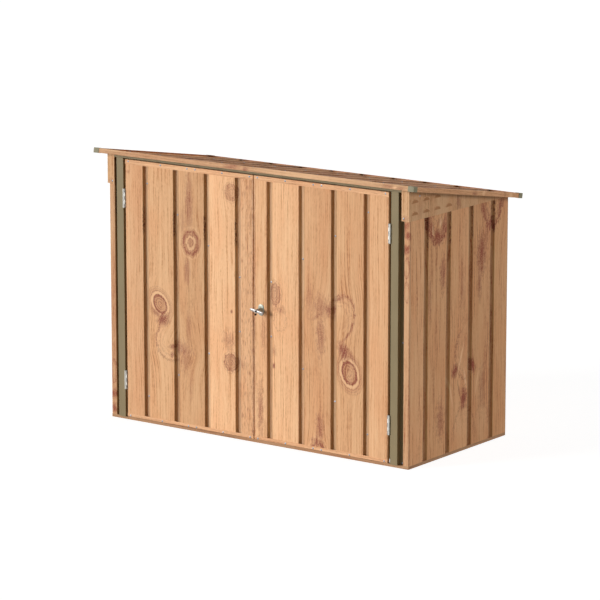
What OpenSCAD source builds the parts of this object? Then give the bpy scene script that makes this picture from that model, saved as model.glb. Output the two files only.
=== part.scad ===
// Closed steel bike store: a low pent-roofed shelter of folded sheet with two hinged front doors.
// Origin at the bottom centre of the overall box, front towards -Y, ground at Z = 0.

/* [Overall] */
// Width over the side walls
wall_w = 1900; // [1500:10:2400]
// Depth over the front and back walls
wall_d = 886; // [700:1:1200]
// Height of the roof's front edge above the ground
front_h = 1444; // [1200:1:1800]
// Fall of the roof towards the back, in degrees
roof_pitch = 9.9; // [5:0.1:12]
// How far the roof stands out in front of the walls
over_front = 59; // [50:1:90]
// How far the roof stands out behind the walls
over_back = 46; // [40:1:90]
// How far the roof stands out at each side
over_side = 59; // [50:1:90]

/* [Sheet metal] */
// Thickness of the wall, door and roof sheets
sheet_t = 1; // [0.6:0.1:1.2]
// Thickness of the folded frame members
frame_t = 1.2; // [0.8:0.1:1.6]
// Distance between grooves
groove_pitch = 200; // [150:1:240]
// Width of a groove at the face of the sheet
groove_w = 36; // [26:1:44]
// Width of a groove at its floor
groove_floor = 20; // [12:1:24]
// Depth of a groove
groove_d = 15; // [8:1:18]
// Least flat board left between the last groove and an edge
edge_board = 40; // [20:1:60]

/* [Base frame] */
// Height of the base rails
sill_h = 16; // [10:1:30]
// Width of the base rails' flange on the ground
sill_foot = 40; // [30:1:60]
// How far the lip that the walls stand on reaches past the grooves
sill_spare = 2; // [1:1:12]

/* [Walls] */
// Width of the side wall's fold around the front corner
front_return = 33; // [25:1:38]
// Depth of the hem behind that fold
front_hem = 13; // [8:1:20]
// Width of the side wall's fold behind the back wall
back_return = 25; // [15:1:40]
// Width of each leg of the angles that the roof rests on
plate_leg = 30; // [20:1:40]

/* [Door frame] */
// Distance from the side wall to the post's near edge
post_inset = 58.7; // [50:0.1:80]
// Width of the post's face
post_face = 43.8; // [30:0.1:60]
// How far the post's face stands in front of the walls
post_out = 13.7; // [8:0.1:20]
// How far the post's flange reaches behind the corner fold
post_lap = 13; // [6:1:20]
// Width of the flange that the door closes against
stop_w = 27; // [20:1:40]
// Clearance between that flange and the door's stiles
stop_clear = 7.6; // [5:0.1:12]
// Height of the header's face below the roof
header_h = 13.6; // [10:0.1:30]
// Depth of the header's lower flange
header_d = 40; // [30:1:50]

/* [Gable trims] */
// Height of the gable trims at the front
gable_h = 156; // [80:1:200]
// How far the gable trims stand off the walls
gable_off = 3; // [2:0.5:6]
// How far the gable trims' front leg stands in front of the walls
gable_out = 12.6; // [10:0.1:20]
// Width of the gable trims' front leg
gable_leg = 42; // [36:1:50]
// Height of a gable trim at its back tip
gable_tip = 4; // [2:1:10]

/* [Roof trims] */
// Height of the channel around the roof
trim_h = 24; // [18:1:34]
// Width of the channel's flanges
trim_w = 20; // [12:1:30]
// Thickness of the corner caps
cap_t = 1.5; // [1:0.1:3]
// Length of each leg of a corner cap
cap_leg = 34; // [24:1:50]
// Overlap of the two roof sheets
roof_lap = 20; // [10:1:40]
// Clearance between the roof sheets and what they rest on
seat_gap = 0.05; // [0.02:0.01:0.3]

/* [Doors] */
// Gap between post and door, where the hinges are
hinge_gap = 14.5; // [13:0.1:20]
// Gap between the two doors
meet_gap = 7; // [6:0.5:10]
// Gap under and over the doors
door_gap = 5.5; // [5:0.5:10]
// How far the doors' boards stand in front of the walls
door_out = 13.6; // [8:0.1:20]
// Height of the doors' top rail
top_rail_h = 24; // [15:1:40]
// Height of the doors' bottom rail
bottom_rail_h = 17; // [12:1:40]
// Width and depth of the doors' stiles
stile_w = 30; // [24:1:40]
// Width of the diagonal braces
brace_w = 24; // [16:1:36]
// Depth of the diagonal braces
brace_d = 12; // [8:1:14]
// Half the height between the two braces at the meeting edge
brace_split = 95; // [60:1:140]
// Height of the point between them above the doors' middle
brace_lift = 3.5; // [0:0.5:20]
// Distance of the upper brace's end below the top rail
brace_top = 20.5; // [20:0.5:60]
// Distance of the lower brace's end above the bottom rail
brace_foot = 34.5; // [20:0.5:60]

/* [Hinges] */
// Height of a hinge
hinge_h = 100; // [60:1:120]
// Radius of the hinge knuckles
knuckle_r = 5; // [4:0.1:6]
// Radius of the hinge pin
pin_r = 2.5; // [2:0.1:3]
// Running clearance around the hinge pin
pin_clear = 0.05; // [0.03:0.01:0.09]
// How far the pin's axis stands in front of the walls
pin_out = 18; // [16:0.5:24]
// Thickness of a hinge leaf
leaf_t = 2; // [1.5:0.1:2.5]
// Reach of a hinge leaf behind the front of the walls
leaf_back = 8; // [4:1:12]
// Distance from the doors' top to the upper hinge's middle
hinge_from_top = 205; // [120:1:300]
// Distance from the doors' bottom to the lower hinge's middle
hinge_from_bottom = 196; // [120:1:300]

/* [Lock] */
// Distance from the meeting stile's edge to the lock's axis
lock_inset = 12.5; // [10:0.5:20]
// Height of the lock's axis below the doors' middle
lock_drop = 4; // [0:1:40]
// Radius of the lock's spindle
spindle_r = 6; // [4:0.1:8]
// Clearance between the bar's end and the other door
bar_clear = 7.5; // [6:0.5:30]
// Height of the turning bar
bar_h = 14; // [10:1:18]
// Thickness of the turning bar
bar_t = 12; // [8:1:14]
// How far the bar's front stands in front of the walls
bar_out = 58; // [50:1:58]
// Tilt of the bar from level, in degrees, with its free end down
bar_tilt = 10; // [0:1:15]
// Radius of the bar's round middle
hub_r = 11; // [9:1:13]
// Half width of the oval base
base_r = 18; // [15:1:20]
// Distance of the oval's ends from its middle
base_rise = 12; // [6:1:16]
// Thickness of the oval base
base_t = 3; // [2:0.5:4]
// Length of the base's tapered boss
boss_len = 20; // [12:1:22]
// Half length of the cam behind the door
cam_reach = 22; // [14:1:30]
// Clearance between the cam and the stiles
cam_clear = 7; // [5:0.5:12]

/* [Hidden] */
$fn = 48;

WOOD = [0.84, 0.64, 0.47];
OLIVE = [0.56, 0.51, 0.40];
ROOF = [0.55, 0.42, 0.33];
STEEL = [0.82, 0.80, 0.76];
ZINC = [0.62, 0.62, 0.60];

// Walls: outer planes of the box that the walls make
half_w = wall_w / 2;
front_y = -(wall_d + over_back - over_front) / 2;
back_y = front_y + wall_d;
mid_y = (front_y + back_y) / 2;
inner_d = groove_d + sheet_t;
sill_lip = inner_d + sill_spare;

// Roof: a flat tray tilted by the pitch, its channel's middle on the tray's own zero plane
roof_w = 2 * (half_w + over_side - cap_t);
cap_half = trim_h / 2 + cap_t;
box_d = wall_d + over_front + over_back;
cap_slope = (box_d - 2 * cap_half * sin(roof_pitch)) / cos(roof_pitch);
roof_len = cap_slope - 2 * cap_t;
roof_y = front_y - over_front + cap_half * sin(roof_pitch) + cap_t * cos(roof_pitch);
roof_z = front_h - cap_half * cos(roof_pitch) - cap_t * sin(roof_pitch);
deck_n = sheet_t - trim_h / 2;
rib_h = trim_h - 3 * sheet_t;
rib_limit = roof_w / 2 - trim_w - groove_w / 2;
seam_x = groove_pitch / 2;

// Doors: the right one is described, and the left one is its mirror image
post_in = half_w - post_inset - post_face;
door_x0 = meet_gap / 2;
door_x1 = post_in - hinge_gap;
door_y = front_y - door_out;
door_back = door_y + inner_d;
header_y = front_y - gable_out + sheet_t;
header_z = deck_z(header_y) - header_h;
door_z0 = sill_h + door_gap;
door_z1 = header_z - door_gap;
door_mid = (door_z0 + door_z1) / 2;
stile_z0 = door_z0 + bottom_rail_h;
stile_z1 = door_z1 - top_rail_h;
stile_x0 = door_x0 + sheet_t + stile_w;
stile_x1 = door_x1 - sheet_t - stile_w;
stile_y = door_y + sheet_t;
stile_back = stile_y + stile_w;
pin_x = post_in - knuckle_r;
pin_y = front_y - pin_out;
hinge_heights = [door_z0 + hinge_from_bottom, door_z1 - hinge_from_top];
knuckles = 5;
knuckle_gap = 0.3;
knuckle_len = hinge_h / knuckles;

// Gable trims: level lower edge, from the front to where it meets the falling roof
gable_front = front_y - gable_out;
gable_z = deck_z(gable_front) - gable_h;
gable_back = min(gable_front + (gable_h - gable_tip) / tan(roof_pitch), back_y);

// Lock: its axis, and its places along Y
lock_x = stile_x0 + lock_inset;
lock_z = door_mid - lock_drop;
bar_len = 2 * (lock_x + door_x0 - bar_clear);
boss_end = door_y - base_t - boss_len;
boss_foot_r = 14;
boss_tip_r = 10;
handle_gap = 0.6;
bar_front = front_y - bar_out;
bar_back = bar_front + bar_t;
cam_t = 4;
cam_w = 16;
cam_front = stile_back + cam_clear;
hole_clear = 1;
far = 4000;

// Height at y, from front to back, of the plane just under the roof sheets
function deck_z(y) = roof_z - (y - roof_y) * tan(roof_pitch) + (deck_n - seat_gap) / cos(roof_pitch);

// Distance down the slope of the point of that underside at y
function deck_s(y) = (y - roof_y - deck_n * sin(roof_pitch)) / cos(roof_pitch);

function left_normal(a, b) = [a[1] - b[1], b[0] - a[0]] / norm(b - a);

// A point of the path moved to the left by t, mitred where the path bends
function shifted(p, i, t) =
    let (last = len(p) - 1)
    let (n1 = left_normal(p[max(i - 1, 0)], p[max(i, 1)]))
    let (n2 = left_normal(p[min(i, last - 1)], p[min(i + 1, last)]))
    p[i] + (n1 + n2) * t / (1 + n1 * n2);

// Outline of a strip of thickness t folded along the path, with its thickness on the left
function fold_outline(p, t) = concat(p, [for (i = [len(p) - 1:-1:0]) shifted(p, i, t)]);

// Groove places at half pitches on both sides of the middle, inside the limit
function paired_places(limit) =
    let (n = floor((limit - groove_pitch / 2) / groove_pitch))
    [for (k = [-n - 1:n]) (k + 0.5) * groove_pitch];

// The four bends of one groove or rib, at c along the sheet and d deep
function bends(c, d) = [
    [c - groove_w / 2, 0], [c - groove_floor / 2, d], [c + groove_floor / 2, d], [c + groove_w / 2, 0]
];

wall_limit = half_w - groove_w / 2 - edge_board;
side_limit = wall_d / 2 - groove_w / 2 - edge_board;
door_limit = door_x1 - groove_w / 2 - edge_board;
door_places = [for (c = paired_places(door_limit)) if (c > door_x0) c];
rib_count = floor(rib_limit / groove_pitch);
rib_places = [for (k = [-rib_count:rib_count]) k * groove_pitch];

module folded(path, t, length) {
    linear_extrude(length) polygon(fold_outline(path, t));
}

// Folded section in the Y-Z plane, carried along X from x0 to x1
module along_x(path, t, x0, x1) {
    translate([x0, 0, 0]) rotate([90, 0, 90]) folded(path, t, x1 - x0);
}

module mirrored_x() {
    mirror([1, 0, 0]) children();
}

// Everything above the underside of the roof sheets
module above_deck() {
    translate([-far / 2, 0, 0]) rotate([90, 0, 90]) linear_extrude(far)
        polygon([[-far, deck_z(-far)], [far, deck_z(far)], [far, far], [-far, far]]);
}

module roof_frame() {
    translate([0, roof_y, roof_z]) rotate([-roof_pitch, 0, 0]) children();
}

// Channel from x0 to x1 with its outer face at Y = 0; an end with a mitre of 1 is cut at 45 degrees
module channel(x0, x1, height, lower, upper, t, mitre0, mitre1) {
    levels = [[lower, t, 0], [t, height, 0], [upper, t, height - t]];
    for (level = levels)
        translate([0, 0, level[2]]) linear_extrude(level[1])
            polygon([
                [x0, 0], [x1, 0],
                [x1 - mitre1 * level[0], level[0]], [x0 + mitre0 * level[0], level[0]]
            ]);
}

// Turns a run of channel to one side of a rectangle and moves it out to its face
module on_side(angle, reach) {
    rotate([0, 0, angle]) translate([0, -reach, 0]) children();
}

module sill_run(half) {
    channel(-half, half, sill_h, sill_foot, sill_lip, frame_t, 1, 1);
}

module sill_front() {
    color(WOOD) translate([0, mid_y, 0]) on_side(0, wall_d / 2) sill_run(half_w);
}

module sill_back() {
    color(WOOD) translate([0, mid_y, 0]) on_side(180, wall_d / 2) sill_run(half_w);
}

module sill_right() {
    color(WOOD) translate([0, mid_y, 0]) on_side(90, half_w) sill_run(wall_d / 2);
}

module sill_left() {
    mirrored_x() sill_right();
}

// Side wall: hem, front return, grooved side and back return, folded from one sheet
module right_wall() {
    grooves = [for (c = paired_places(side_limit)) each bends(c + mid_y, -groove_d)];
    path = concat(
        [[half_w - front_return, front_y + front_hem]],
        [[half_w - front_return, front_y], [half_w, front_y]],
        [for (b = grooves) [half_w + b[1], b[0]]],
        [[half_w, back_y - sheet_t], [half_w - back_return, back_y - sheet_t]]
    );
    color(WOOD) difference() {
        translate([0, 0, sill_h]) folded(path, sheet_t, front_h);
        above_deck();
    }
}

module left_wall() {
    mirrored_x() right_wall();
}

module back_wall() {
    grooves = [for (c = paired_places(wall_limit)) each bends(c, -groove_d)];
    path = concat(
        [[half_w, back_y]],
        [for (i = [len(grooves) - 1:-1:0]) [grooves[i][0], back_y + grooves[i][1]]],
        [[-half_w, back_y]]
    );
    color(WOOD) difference() {
        translate([0, 0, sill_h]) folded(path, sheet_t, front_h);
        above_deck();
    }
}

// Door post: tucked flange, box-shaped face and the flange that the door closes against
module right_post() {
    near = half_w - post_inset;
    face_y = front_y - post_out;
    stop_y = stile_back + stop_clear;
    path = [
        [post_in - stop_w, stop_y],
        [post_in, stop_y],
        [post_in, face_y],
        [near, face_y],
        [near, front_y + front_hem],
        [half_w - front_return + post_lap, front_y + front_hem]
    ];
    color(OLIVE) translate([0, 0, sill_h]) folded(path, frame_t, header_z - sill_h);
}

module left_post() {
    mirrored_x() right_post();
}

module header() {
    reach = half_w - front_return;
    path = [[header_y, front_h], [header_y, header_z], [header_y + header_d, header_z]];
    color(OLIVE) difference() {
        along_x(path, frame_t, -reach, reach);
        above_deck();
    }
}

module right_wall_plate() {
    face = half_w - inner_d;
    s0 = deck_s(header_y + header_d + frame_t);
    s1 = deck_s(back_y - inner_d - plate_leg);
    path = [[face, -plate_leg], [face, 0], [face - plate_leg, 0]];
    color(ZINC) roof_frame() translate([0, s1, deck_n]) rotate([90, 0, 0]) folded(path, frame_t, s1 - s0);
}

module left_wall_plate() {
    mirrored_x() right_wall_plate();
}

module back_wall_plate() {
    face = back_y - inner_d;
    reach = half_w - sheet_t;
    path = [
        [face, deck_z(face) - plate_leg],
        [face, deck_z(face)],
        [face - plate_leg, deck_z(face - plate_leg)]
    ];
    color(ZINC) along_x(path, frame_t, -reach, reach);
}

// Gable trim: a tapering plate outside the wall, closed below and folded round the front corner
module right_gable_trim() {
    out_x = half_w + gable_off;
    plan = [
        [half_w, gable_back], [out_x, gable_back], [out_x, gable_front],
        [half_w - gable_leg, gable_front], [half_w - gable_leg, front_y], [half_w, front_y]
    ];
    path = [
        [half_w - gable_leg, gable_front],
        [out_x, gable_front],
        [out_x, gable_back]
    ];
    color(WOOD) difference() {
        translate([0, 0, gable_z]) union() {
            linear_extrude(sheet_t) polygon(plan);
            folded(path, sheet_t, front_h);
        }
        above_deck();
    }
}

module left_gable_trim() {
    mirrored_x() right_gable_trim();
}

// Sheet of the roof with ribs standing up, laid inside the channels
module roof_sheet(path) {
    color(ROOF) roof_frame() translate([0, roof_len - sheet_t, deck_n])
        rotate([90, 0, 0]) folded(path, sheet_t, roof_len - 2 * sheet_t);
}

module left_roof_sheet() {
    ribs = [for (c = rib_places) if (c < seam_x) each bends(c, rib_h)];
    roof_sheet(concat([[sheet_t - roof_w / 2, 0]], ribs, [[seam_x + roof_lap / 2, 0]]));
}

module right_roof_sheet() {
    ribs = [for (c = rib_places) if (c > seam_x) each bends(c, rib_h)];
    lap_end = seam_x + roof_lap / 2 + sheet_t;
    lap = [[seam_x - roof_lap / 2, sheet_t], [lap_end, sheet_t], [lap_end + 2 * sheet_t, 0]];
    roof_sheet(concat(lap, ribs, [[roof_w / 2 - sheet_t, 0]]));
}

module trim_run(x0, x1, mitre0, mitre1) {
    channel(x0, x1, trim_h, trim_w, trim_w, sheet_t, mitre0, mitre1);
}

module on_roof(angle, reach) {
    roof_frame() translate([0, roof_len / 2, -trim_h / 2]) on_side(angle, reach) children();
}

module front_trim_right() {
    color(WOOD) on_roof(0, roof_len / 2) trim_run(0, roof_w / 2, 0, 1);
}

module front_trim_left() {
    color(WOOD) on_roof(0, roof_len / 2) trim_run(-roof_w / 2, 0, 1, 0);
}

module back_trim_left() {
    color(WOOD) on_roof(180, roof_len / 2) trim_run(0, roof_w / 2, 0, 1);
}

module back_trim_right() {
    color(WOOD) on_roof(180, roof_len / 2) trim_run(-roof_w / 2, 0, 1, 0);
}

module side_trim_right() {
    color(WOOD) on_roof(90, roof_w / 2) trim_run(-roof_len / 2, roof_len / 2, 1, 1);
}

module side_trim_left() {
    mirrored_x() side_trim_right();
}

// Cap that slides over a corner of the channel: two walls, a top and a bottom
module corner_cap() {
    outer = [cap_leg, cap_leg, trim_h + 2 * cap_t];
    difference() {
        cube(outer);
        translate([cap_t, cap_t, cap_t]) cube([cap_leg, cap_leg, trim_h]);
        translate([trim_w, trim_w, -cap_t]) cube([cap_leg, cap_leg, trim_h + 4 * cap_t]);
    }
}

module roof_corner_caps() {
    color(OLIVE) roof_frame() translate([0, roof_len / 2, -cap_half])
        for (i = [0, 1])
            for (j = [0, 1])
                mirror([i, 0, 0]) mirror([0, j, 0])
                    translate([-roof_w / 2 - cap_t, -roof_len / 2 - cap_t, 0]) corner_cap();
}

// Grooved sheet of one door, folded back at both edges
module door_sheet() {
    grooves = [for (c = door_places) each bends(c, groove_d)];
    path = concat(
        [[door_x0, door_back], [door_x0, door_y]],
        [for (b = grooves) [b[0], door_y + b[1]]],
        [[door_x1, door_y], [door_x1, door_back]]
    );
    translate([0, 0, door_z0 + sheet_t]) folded(path, sheet_t, door_z1 - door_z0 - 2 * sheet_t);
}

module right_door_skin() {
    color(WOOD) difference() {
        door_sheet();
        on_lock(door_y - base_t) cylinder(r = spindle_r + hole_clear, h = inner_d + base_t);
    }
}

module left_door_skin() {
    color(WOOD) mirrored_x() door_sheet();
}

// Channel that closes the top of a door around its sheet
module right_door_top_rail() {
    path = [
        [door_back + sheet_t, stile_z1], [door_back + sheet_t, door_z1],
        [door_y - sheet_t, door_z1], [door_y - sheet_t, stile_z1]
    ];
    color(WOOD) along_x(path, sheet_t, door_x0, door_x1);
}

module left_door_top_rail() {
    mirrored_x() right_door_top_rail();
}

module right_door_bottom_rail() {
    path = [
        [door_y - sheet_t, stile_z0], [door_y - sheet_t, door_z0],
        [door_back + sheet_t, door_z0], [door_back + sheet_t, stile_z0]
    ];
    color(WOOD) along_x(path, sheet_t, door_x0, door_x1);
}

module left_door_bottom_rail() {
    mirrored_x() right_door_bottom_rail();
}

module door_stile(path) {
    color(OLIVE) translate([0, 0, stile_z0]) folded(path, frame_t, stile_z1 - stile_z0);
}

module right_door_hinge_stile() {
    edge = door_x1 - sheet_t;
    door_stile([
        [stile_x1, stile_y], [edge, stile_y],
        [edge, stile_back], [stile_x1, stile_back]
    ]);
}

module left_door_hinge_stile() {
    mirrored_x() right_door_hinge_stile();
}

module right_door_meeting_stile() {
    edge = door_x0 + sheet_t;
    door_stile([
        [stile_x0, stile_back], [edge, stile_back],
        [edge, stile_y], [stile_x0, stile_y]
    ]);
}

module left_door_meeting_stile() {
    mirrored_x() right_door_meeting_stile();
}

// Sloping strip between the stiles, from z0 at the meeting edge to z1 at the hinge edge
module sloping_strip(z0, z1, width, depth) {
    run = stile_x1 - stile_x0;
    rise = width / 2 * norm([run, z1 - z0]) / run;
    rotate([90, 0, 0]) mirror([0, 0, 1]) linear_extrude(depth)
        polygon([
            [stile_x0, z0 - rise], [stile_x1, z1 - rise],
            [stile_x1, z1 + rise], [stile_x0, z0 + rise]
        ]);
}

// Brace: a channel open towards the inside, screwed to the floors of the grooves
module brace(z0, z1) {
    color(OLIVE) translate([0, door_back, 0]) difference() {
        sloping_strip(z0, z1, brace_w, brace_d);
        translate([0, frame_t, 0]) sloping_strip(z0, z1, brace_w - 2 * frame_t, brace_d);
    }
}

module right_door_upper_brace() {
    brace(door_mid + brace_lift + brace_split, stile_z1 - brace_top);
}

module left_door_upper_brace() {
    mirrored_x() right_door_upper_brace();
}

module right_door_lower_brace() {
    brace(door_mid + brace_lift - brace_split, stile_z0 + brace_foot);
}

module left_door_lower_brace() {
    mirrored_x() right_door_lower_brace();
}

// Knuckle number k of a hinge, a little shorter than its share of the height
module knuckle(k) {
    translate([pin_x, pin_y, k * knuckle_len + knuckle_gap / 2])
        cylinder(r = knuckle_r, h = knuckle_len - knuckle_gap);
}

module right_frame_hinges() {
    color(STEEL) for (z = hinge_heights) translate([0, 0, z - hinge_h / 2]) {
        for (k = [0:2:knuckles - 1]) {
            knuckle(k);
            translate([post_in - leaf_t, pin_y, k * knuckle_len + knuckle_gap / 2])
                cube([leaf_t, front_y + leaf_back - pin_y, knuckle_len - knuckle_gap]);
        }
        translate([post_in - leaf_t, front_y - door_out, knuckle_gap / 2])
            cube([leaf_t, door_out + leaf_back, hinge_h - knuckle_gap]);
        translate([pin_x, pin_y, knuckle_gap / 2])
            cylinder(r = pin_r, h = hinge_h - knuckle_gap);
    }
}

module left_frame_hinges() {
    mirrored_x() right_frame_hinges();
}

module right_door_hinges() {
    color(STEEL) for (z = hinge_heights) translate([0, 0, z - hinge_h / 2]) difference() {
        union() {
            for (k = [1:2:knuckles - 1]) {
                knuckle(k);
                translate([door_x1, pin_y - leaf_t / 2, k * knuckle_len + knuckle_gap / 2])
                    cube([pin_x - door_x1, leaf_t, knuckle_len - knuckle_gap]);
            }
            translate([door_x1, pin_y - leaf_t / 2, knuckle_gap / 2])
                cube([leaf_t, front_y + leaf_back - pin_y, hinge_h - knuckle_gap]);
        }
        translate([pin_x, pin_y, 0]) cylinder(r = pin_r + pin_clear, h = hinge_h);
    }
}

module left_door_hinges() {
    mirrored_x() right_door_hinges();
}

// Puts a shape drawn along +Z on the lock's axis, from y backwards
module on_lock(y) {
    translate([lock_x, y, lock_z]) rotate([-90, 0, 0]) children();
}

module lock_base() {
    color(STEEL) difference() {
        union() {
            on_lock(door_y - base_t) linear_extrude(base_t) union() {
                for (side = [-1, 1]) translate([0, side * base_rise]) circle(base_r);
                square([2 * base_r, 2 * base_rise], center = true);
            }
            on_lock(boss_end) cylinder(r1 = boss_tip_r, r2 = boss_foot_r, h = boss_len);
        }
        on_lock(boss_end) cylinder(r = spindle_r + pin_clear, h = boss_len + base_t);
    }
}

module lock_handle() {
    reach = bar_len / 2 - bar_h / 2;
    color(STEEL) union() {
        on_lock(bar_front) rotate(bar_tilt) linear_extrude(bar_t) union() {
            for (side = [-1, 1]) translate([side * reach, 0]) circle(bar_h / 2);
            square([2 * reach, bar_h], center = true);
        }
        on_lock(bar_front) cylinder(r = hub_r, h = boss_end - handle_gap - bar_front);
        on_lock(bar_back) cylinder(r = spindle_r, h = cam_front - bar_back);
    }
}

module lock_cam() {
    color(ZINC) on_lock(cam_front) linear_extrude(cam_t) union() {
        for (side = [-1, 1]) translate([0, side * (cam_reach - cam_w / 2)]) circle(cam_w / 2);
        square([cam_w, 2 * cam_reach - cam_w], center = true);
    }
}

sill_front();
sill_back();
sill_left();
sill_right();
left_wall();
right_wall();
back_wall();
left_post();
right_post();
header();
left_wall_plate();
right_wall_plate();
back_wall_plate();
left_gable_trim();
right_gable_trim();
left_roof_sheet();
right_roof_sheet();
front_trim_left();
front_trim_right();
back_trim_left();
back_trim_right();
side_trim_left();
side_trim_right();
roof_corner_caps();
left_frame_hinges();
right_frame_hinges();
left_door_skin();
left_door_top_rail();
left_door_bottom_rail();
left_door_hinge_stile();
left_door_meeting_stile();
left_door_upper_brace();
left_door_lower_brace();
left_door_hinges();
right_door_skin();
right_door_top_rail();
right_door_bottom_rail();
right_door_hinge_stile();
right_door_meeting_stile();
right_door_upper_brace();
right_door_lower_brace();
right_door_hinges();
lock_base();
lock_handle();
lock_cam();
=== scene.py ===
"""Looks of a metal bike store: wood-print sheets, painted frame, hinges, lock, screws and a plain studio.

Lengths are in metres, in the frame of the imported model: front towards -Y, ground at Z = 0.
"""
import logging
import math
from dataclasses import dataclass, field
from enum import Enum
from typing import ClassVar

import bmesh
import bpy
import numpy as np
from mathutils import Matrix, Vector


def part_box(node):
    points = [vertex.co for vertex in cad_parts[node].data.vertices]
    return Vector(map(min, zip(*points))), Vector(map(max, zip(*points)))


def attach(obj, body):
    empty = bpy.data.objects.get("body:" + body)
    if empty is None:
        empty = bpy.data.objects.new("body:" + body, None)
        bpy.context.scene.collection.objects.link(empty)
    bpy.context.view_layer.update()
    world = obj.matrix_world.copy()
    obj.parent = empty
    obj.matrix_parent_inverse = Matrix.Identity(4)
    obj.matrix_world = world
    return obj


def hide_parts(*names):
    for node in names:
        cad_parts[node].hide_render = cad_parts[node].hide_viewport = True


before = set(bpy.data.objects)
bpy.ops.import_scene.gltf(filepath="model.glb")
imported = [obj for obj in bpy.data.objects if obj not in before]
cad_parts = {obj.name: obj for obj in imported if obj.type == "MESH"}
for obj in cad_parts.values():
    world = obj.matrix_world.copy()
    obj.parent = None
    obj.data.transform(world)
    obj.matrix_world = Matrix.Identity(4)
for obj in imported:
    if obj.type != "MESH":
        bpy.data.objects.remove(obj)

LOG = logging.getLogger("bike_store")
MM = 0.001
PRINT_MAP = "print"
# Both sides, with the sign of X there
SIDES = (("left", -1), ("right", 1))
# Angle in degrees above which an edge stays sharp
CREASE = 38.0
# Rings along a folded sheet
RINGS = 3
# How much depth counts in the place across the grain, so that folded faces have grain too
DEPTH_SHARE = 0.6

Colour = tuple[float, float, float]
Point = tuple[float, float]
Direction = tuple[float, float, float]
ALONG_Y = (0.0, 1.0, 0.0)
UPRIGHT = (0.0, 0.0, 1.0)


def linear(red: int, green: int, blue: int) -> Colour:
    """Turns an 8-bit display colour into the linear one that a shader takes."""
    part = np.array([red, green, blue]) / 255.0
    low = part / 12.92
    high = ((part + 0.055) / 1.055) ** 2.4
    return tuple(float(c) for c in np.where(part <= 0.04045, low, high))


# ---------------------------------------------------------------- sheets and solids as numpy grids


def rounded_path(corners: list[Point], radius: float, steps: int = 5) -> np.ndarray:
    """Rounds the inner corners of an open path.

    Each corner is cut back by radius * tan(turn / 2) on both sides, at most 45% of a side, and the gap is
    filled by the parabola that touches both sides there: (1-w)^2 a + 2w(1-w) c + w^2 b.

    Args:
        corners: the path's points, in order.
        radius: bend radius.
        steps: points on each bend.

    Returns:
        The points of the rounded path, one row each.
    """
    pts = np.asarray(corners, float)
    side = np.diff(pts, axis=0)
    length = np.linalg.norm(side, axis=1)
    unit = side / length[:, None]
    turn = np.arccos(np.clip((unit[:-1] * unit[1:]).sum(1), -1, 1))
    cut = np.minimum(radius * np.tan(turn / 2), 0.45 * np.minimum(length[:-1], length[1:]))
    start = pts[1:-1] - unit[:-1] * cut[:, None]
    end = pts[1:-1] + unit[1:] * cut[:, None]
    w = np.linspace(0, 1, steps)[None, :, None]
    arcs = (1 - w) ** 2 * start[:, None] + 2 * w * (1 - w) * pts[1:-1, None] + w**2 * end[:, None]
    return np.vstack([pts[:1], arcs.reshape(-1, 2), pts[-1:]])


def sheet_outline(path: np.ndarray, thickness: float) -> np.ndarray:
    """Outline of a sheet folded along a path, with its thickness on the left.

    Each point moves along the sum of its two side normals, over 1 plus their product, which is the mitre.

    Args:
        path: points of the outer face.
        thickness: thickness of the sheet.

    Returns:
        The outer points, then the inner ones in reverse.
    """
    side = np.diff(path, axis=0)
    side /= np.linalg.norm(side, axis=1)[:, None]
    normal = np.stack([-side[:, 1], side[:, 0]], axis=1)
    before = np.vstack([normal[:1], normal])
    after = np.vstack([normal, normal[-1:]])
    mitre = (before + after) / (1 + (before * after).sum(1))[:, None]
    return np.vstack([path, (path + mitre * thickness)[::-1]])


def print_lengths(path: np.ndarray, main: Point, steep: float = 0.3) -> np.ndarray:
    """Place across the print of each point of a folded path.

    Sides that run mostly along the sheet count by their share along it, and folded-back edges by their
    full length, so that a print stays at the same place on the face whatever the depth of its grooves.

    Args:
        path: points of the outer face.
        main: unit direction along the sheet's face.
        steep: share below which a side counts as folded back.

    Returns:
        The running length at each point, for the outer points and then the inner ones in reverse.
    """
    side = np.diff(path, axis=0)
    full = np.linalg.norm(side, axis=1)
    along = np.abs(side @ np.asarray(main))
    run = np.concatenate([[0], np.cumsum(np.where(along >= steep * full, along, full))])
    return np.concatenate([run, run[::-1]])


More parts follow.
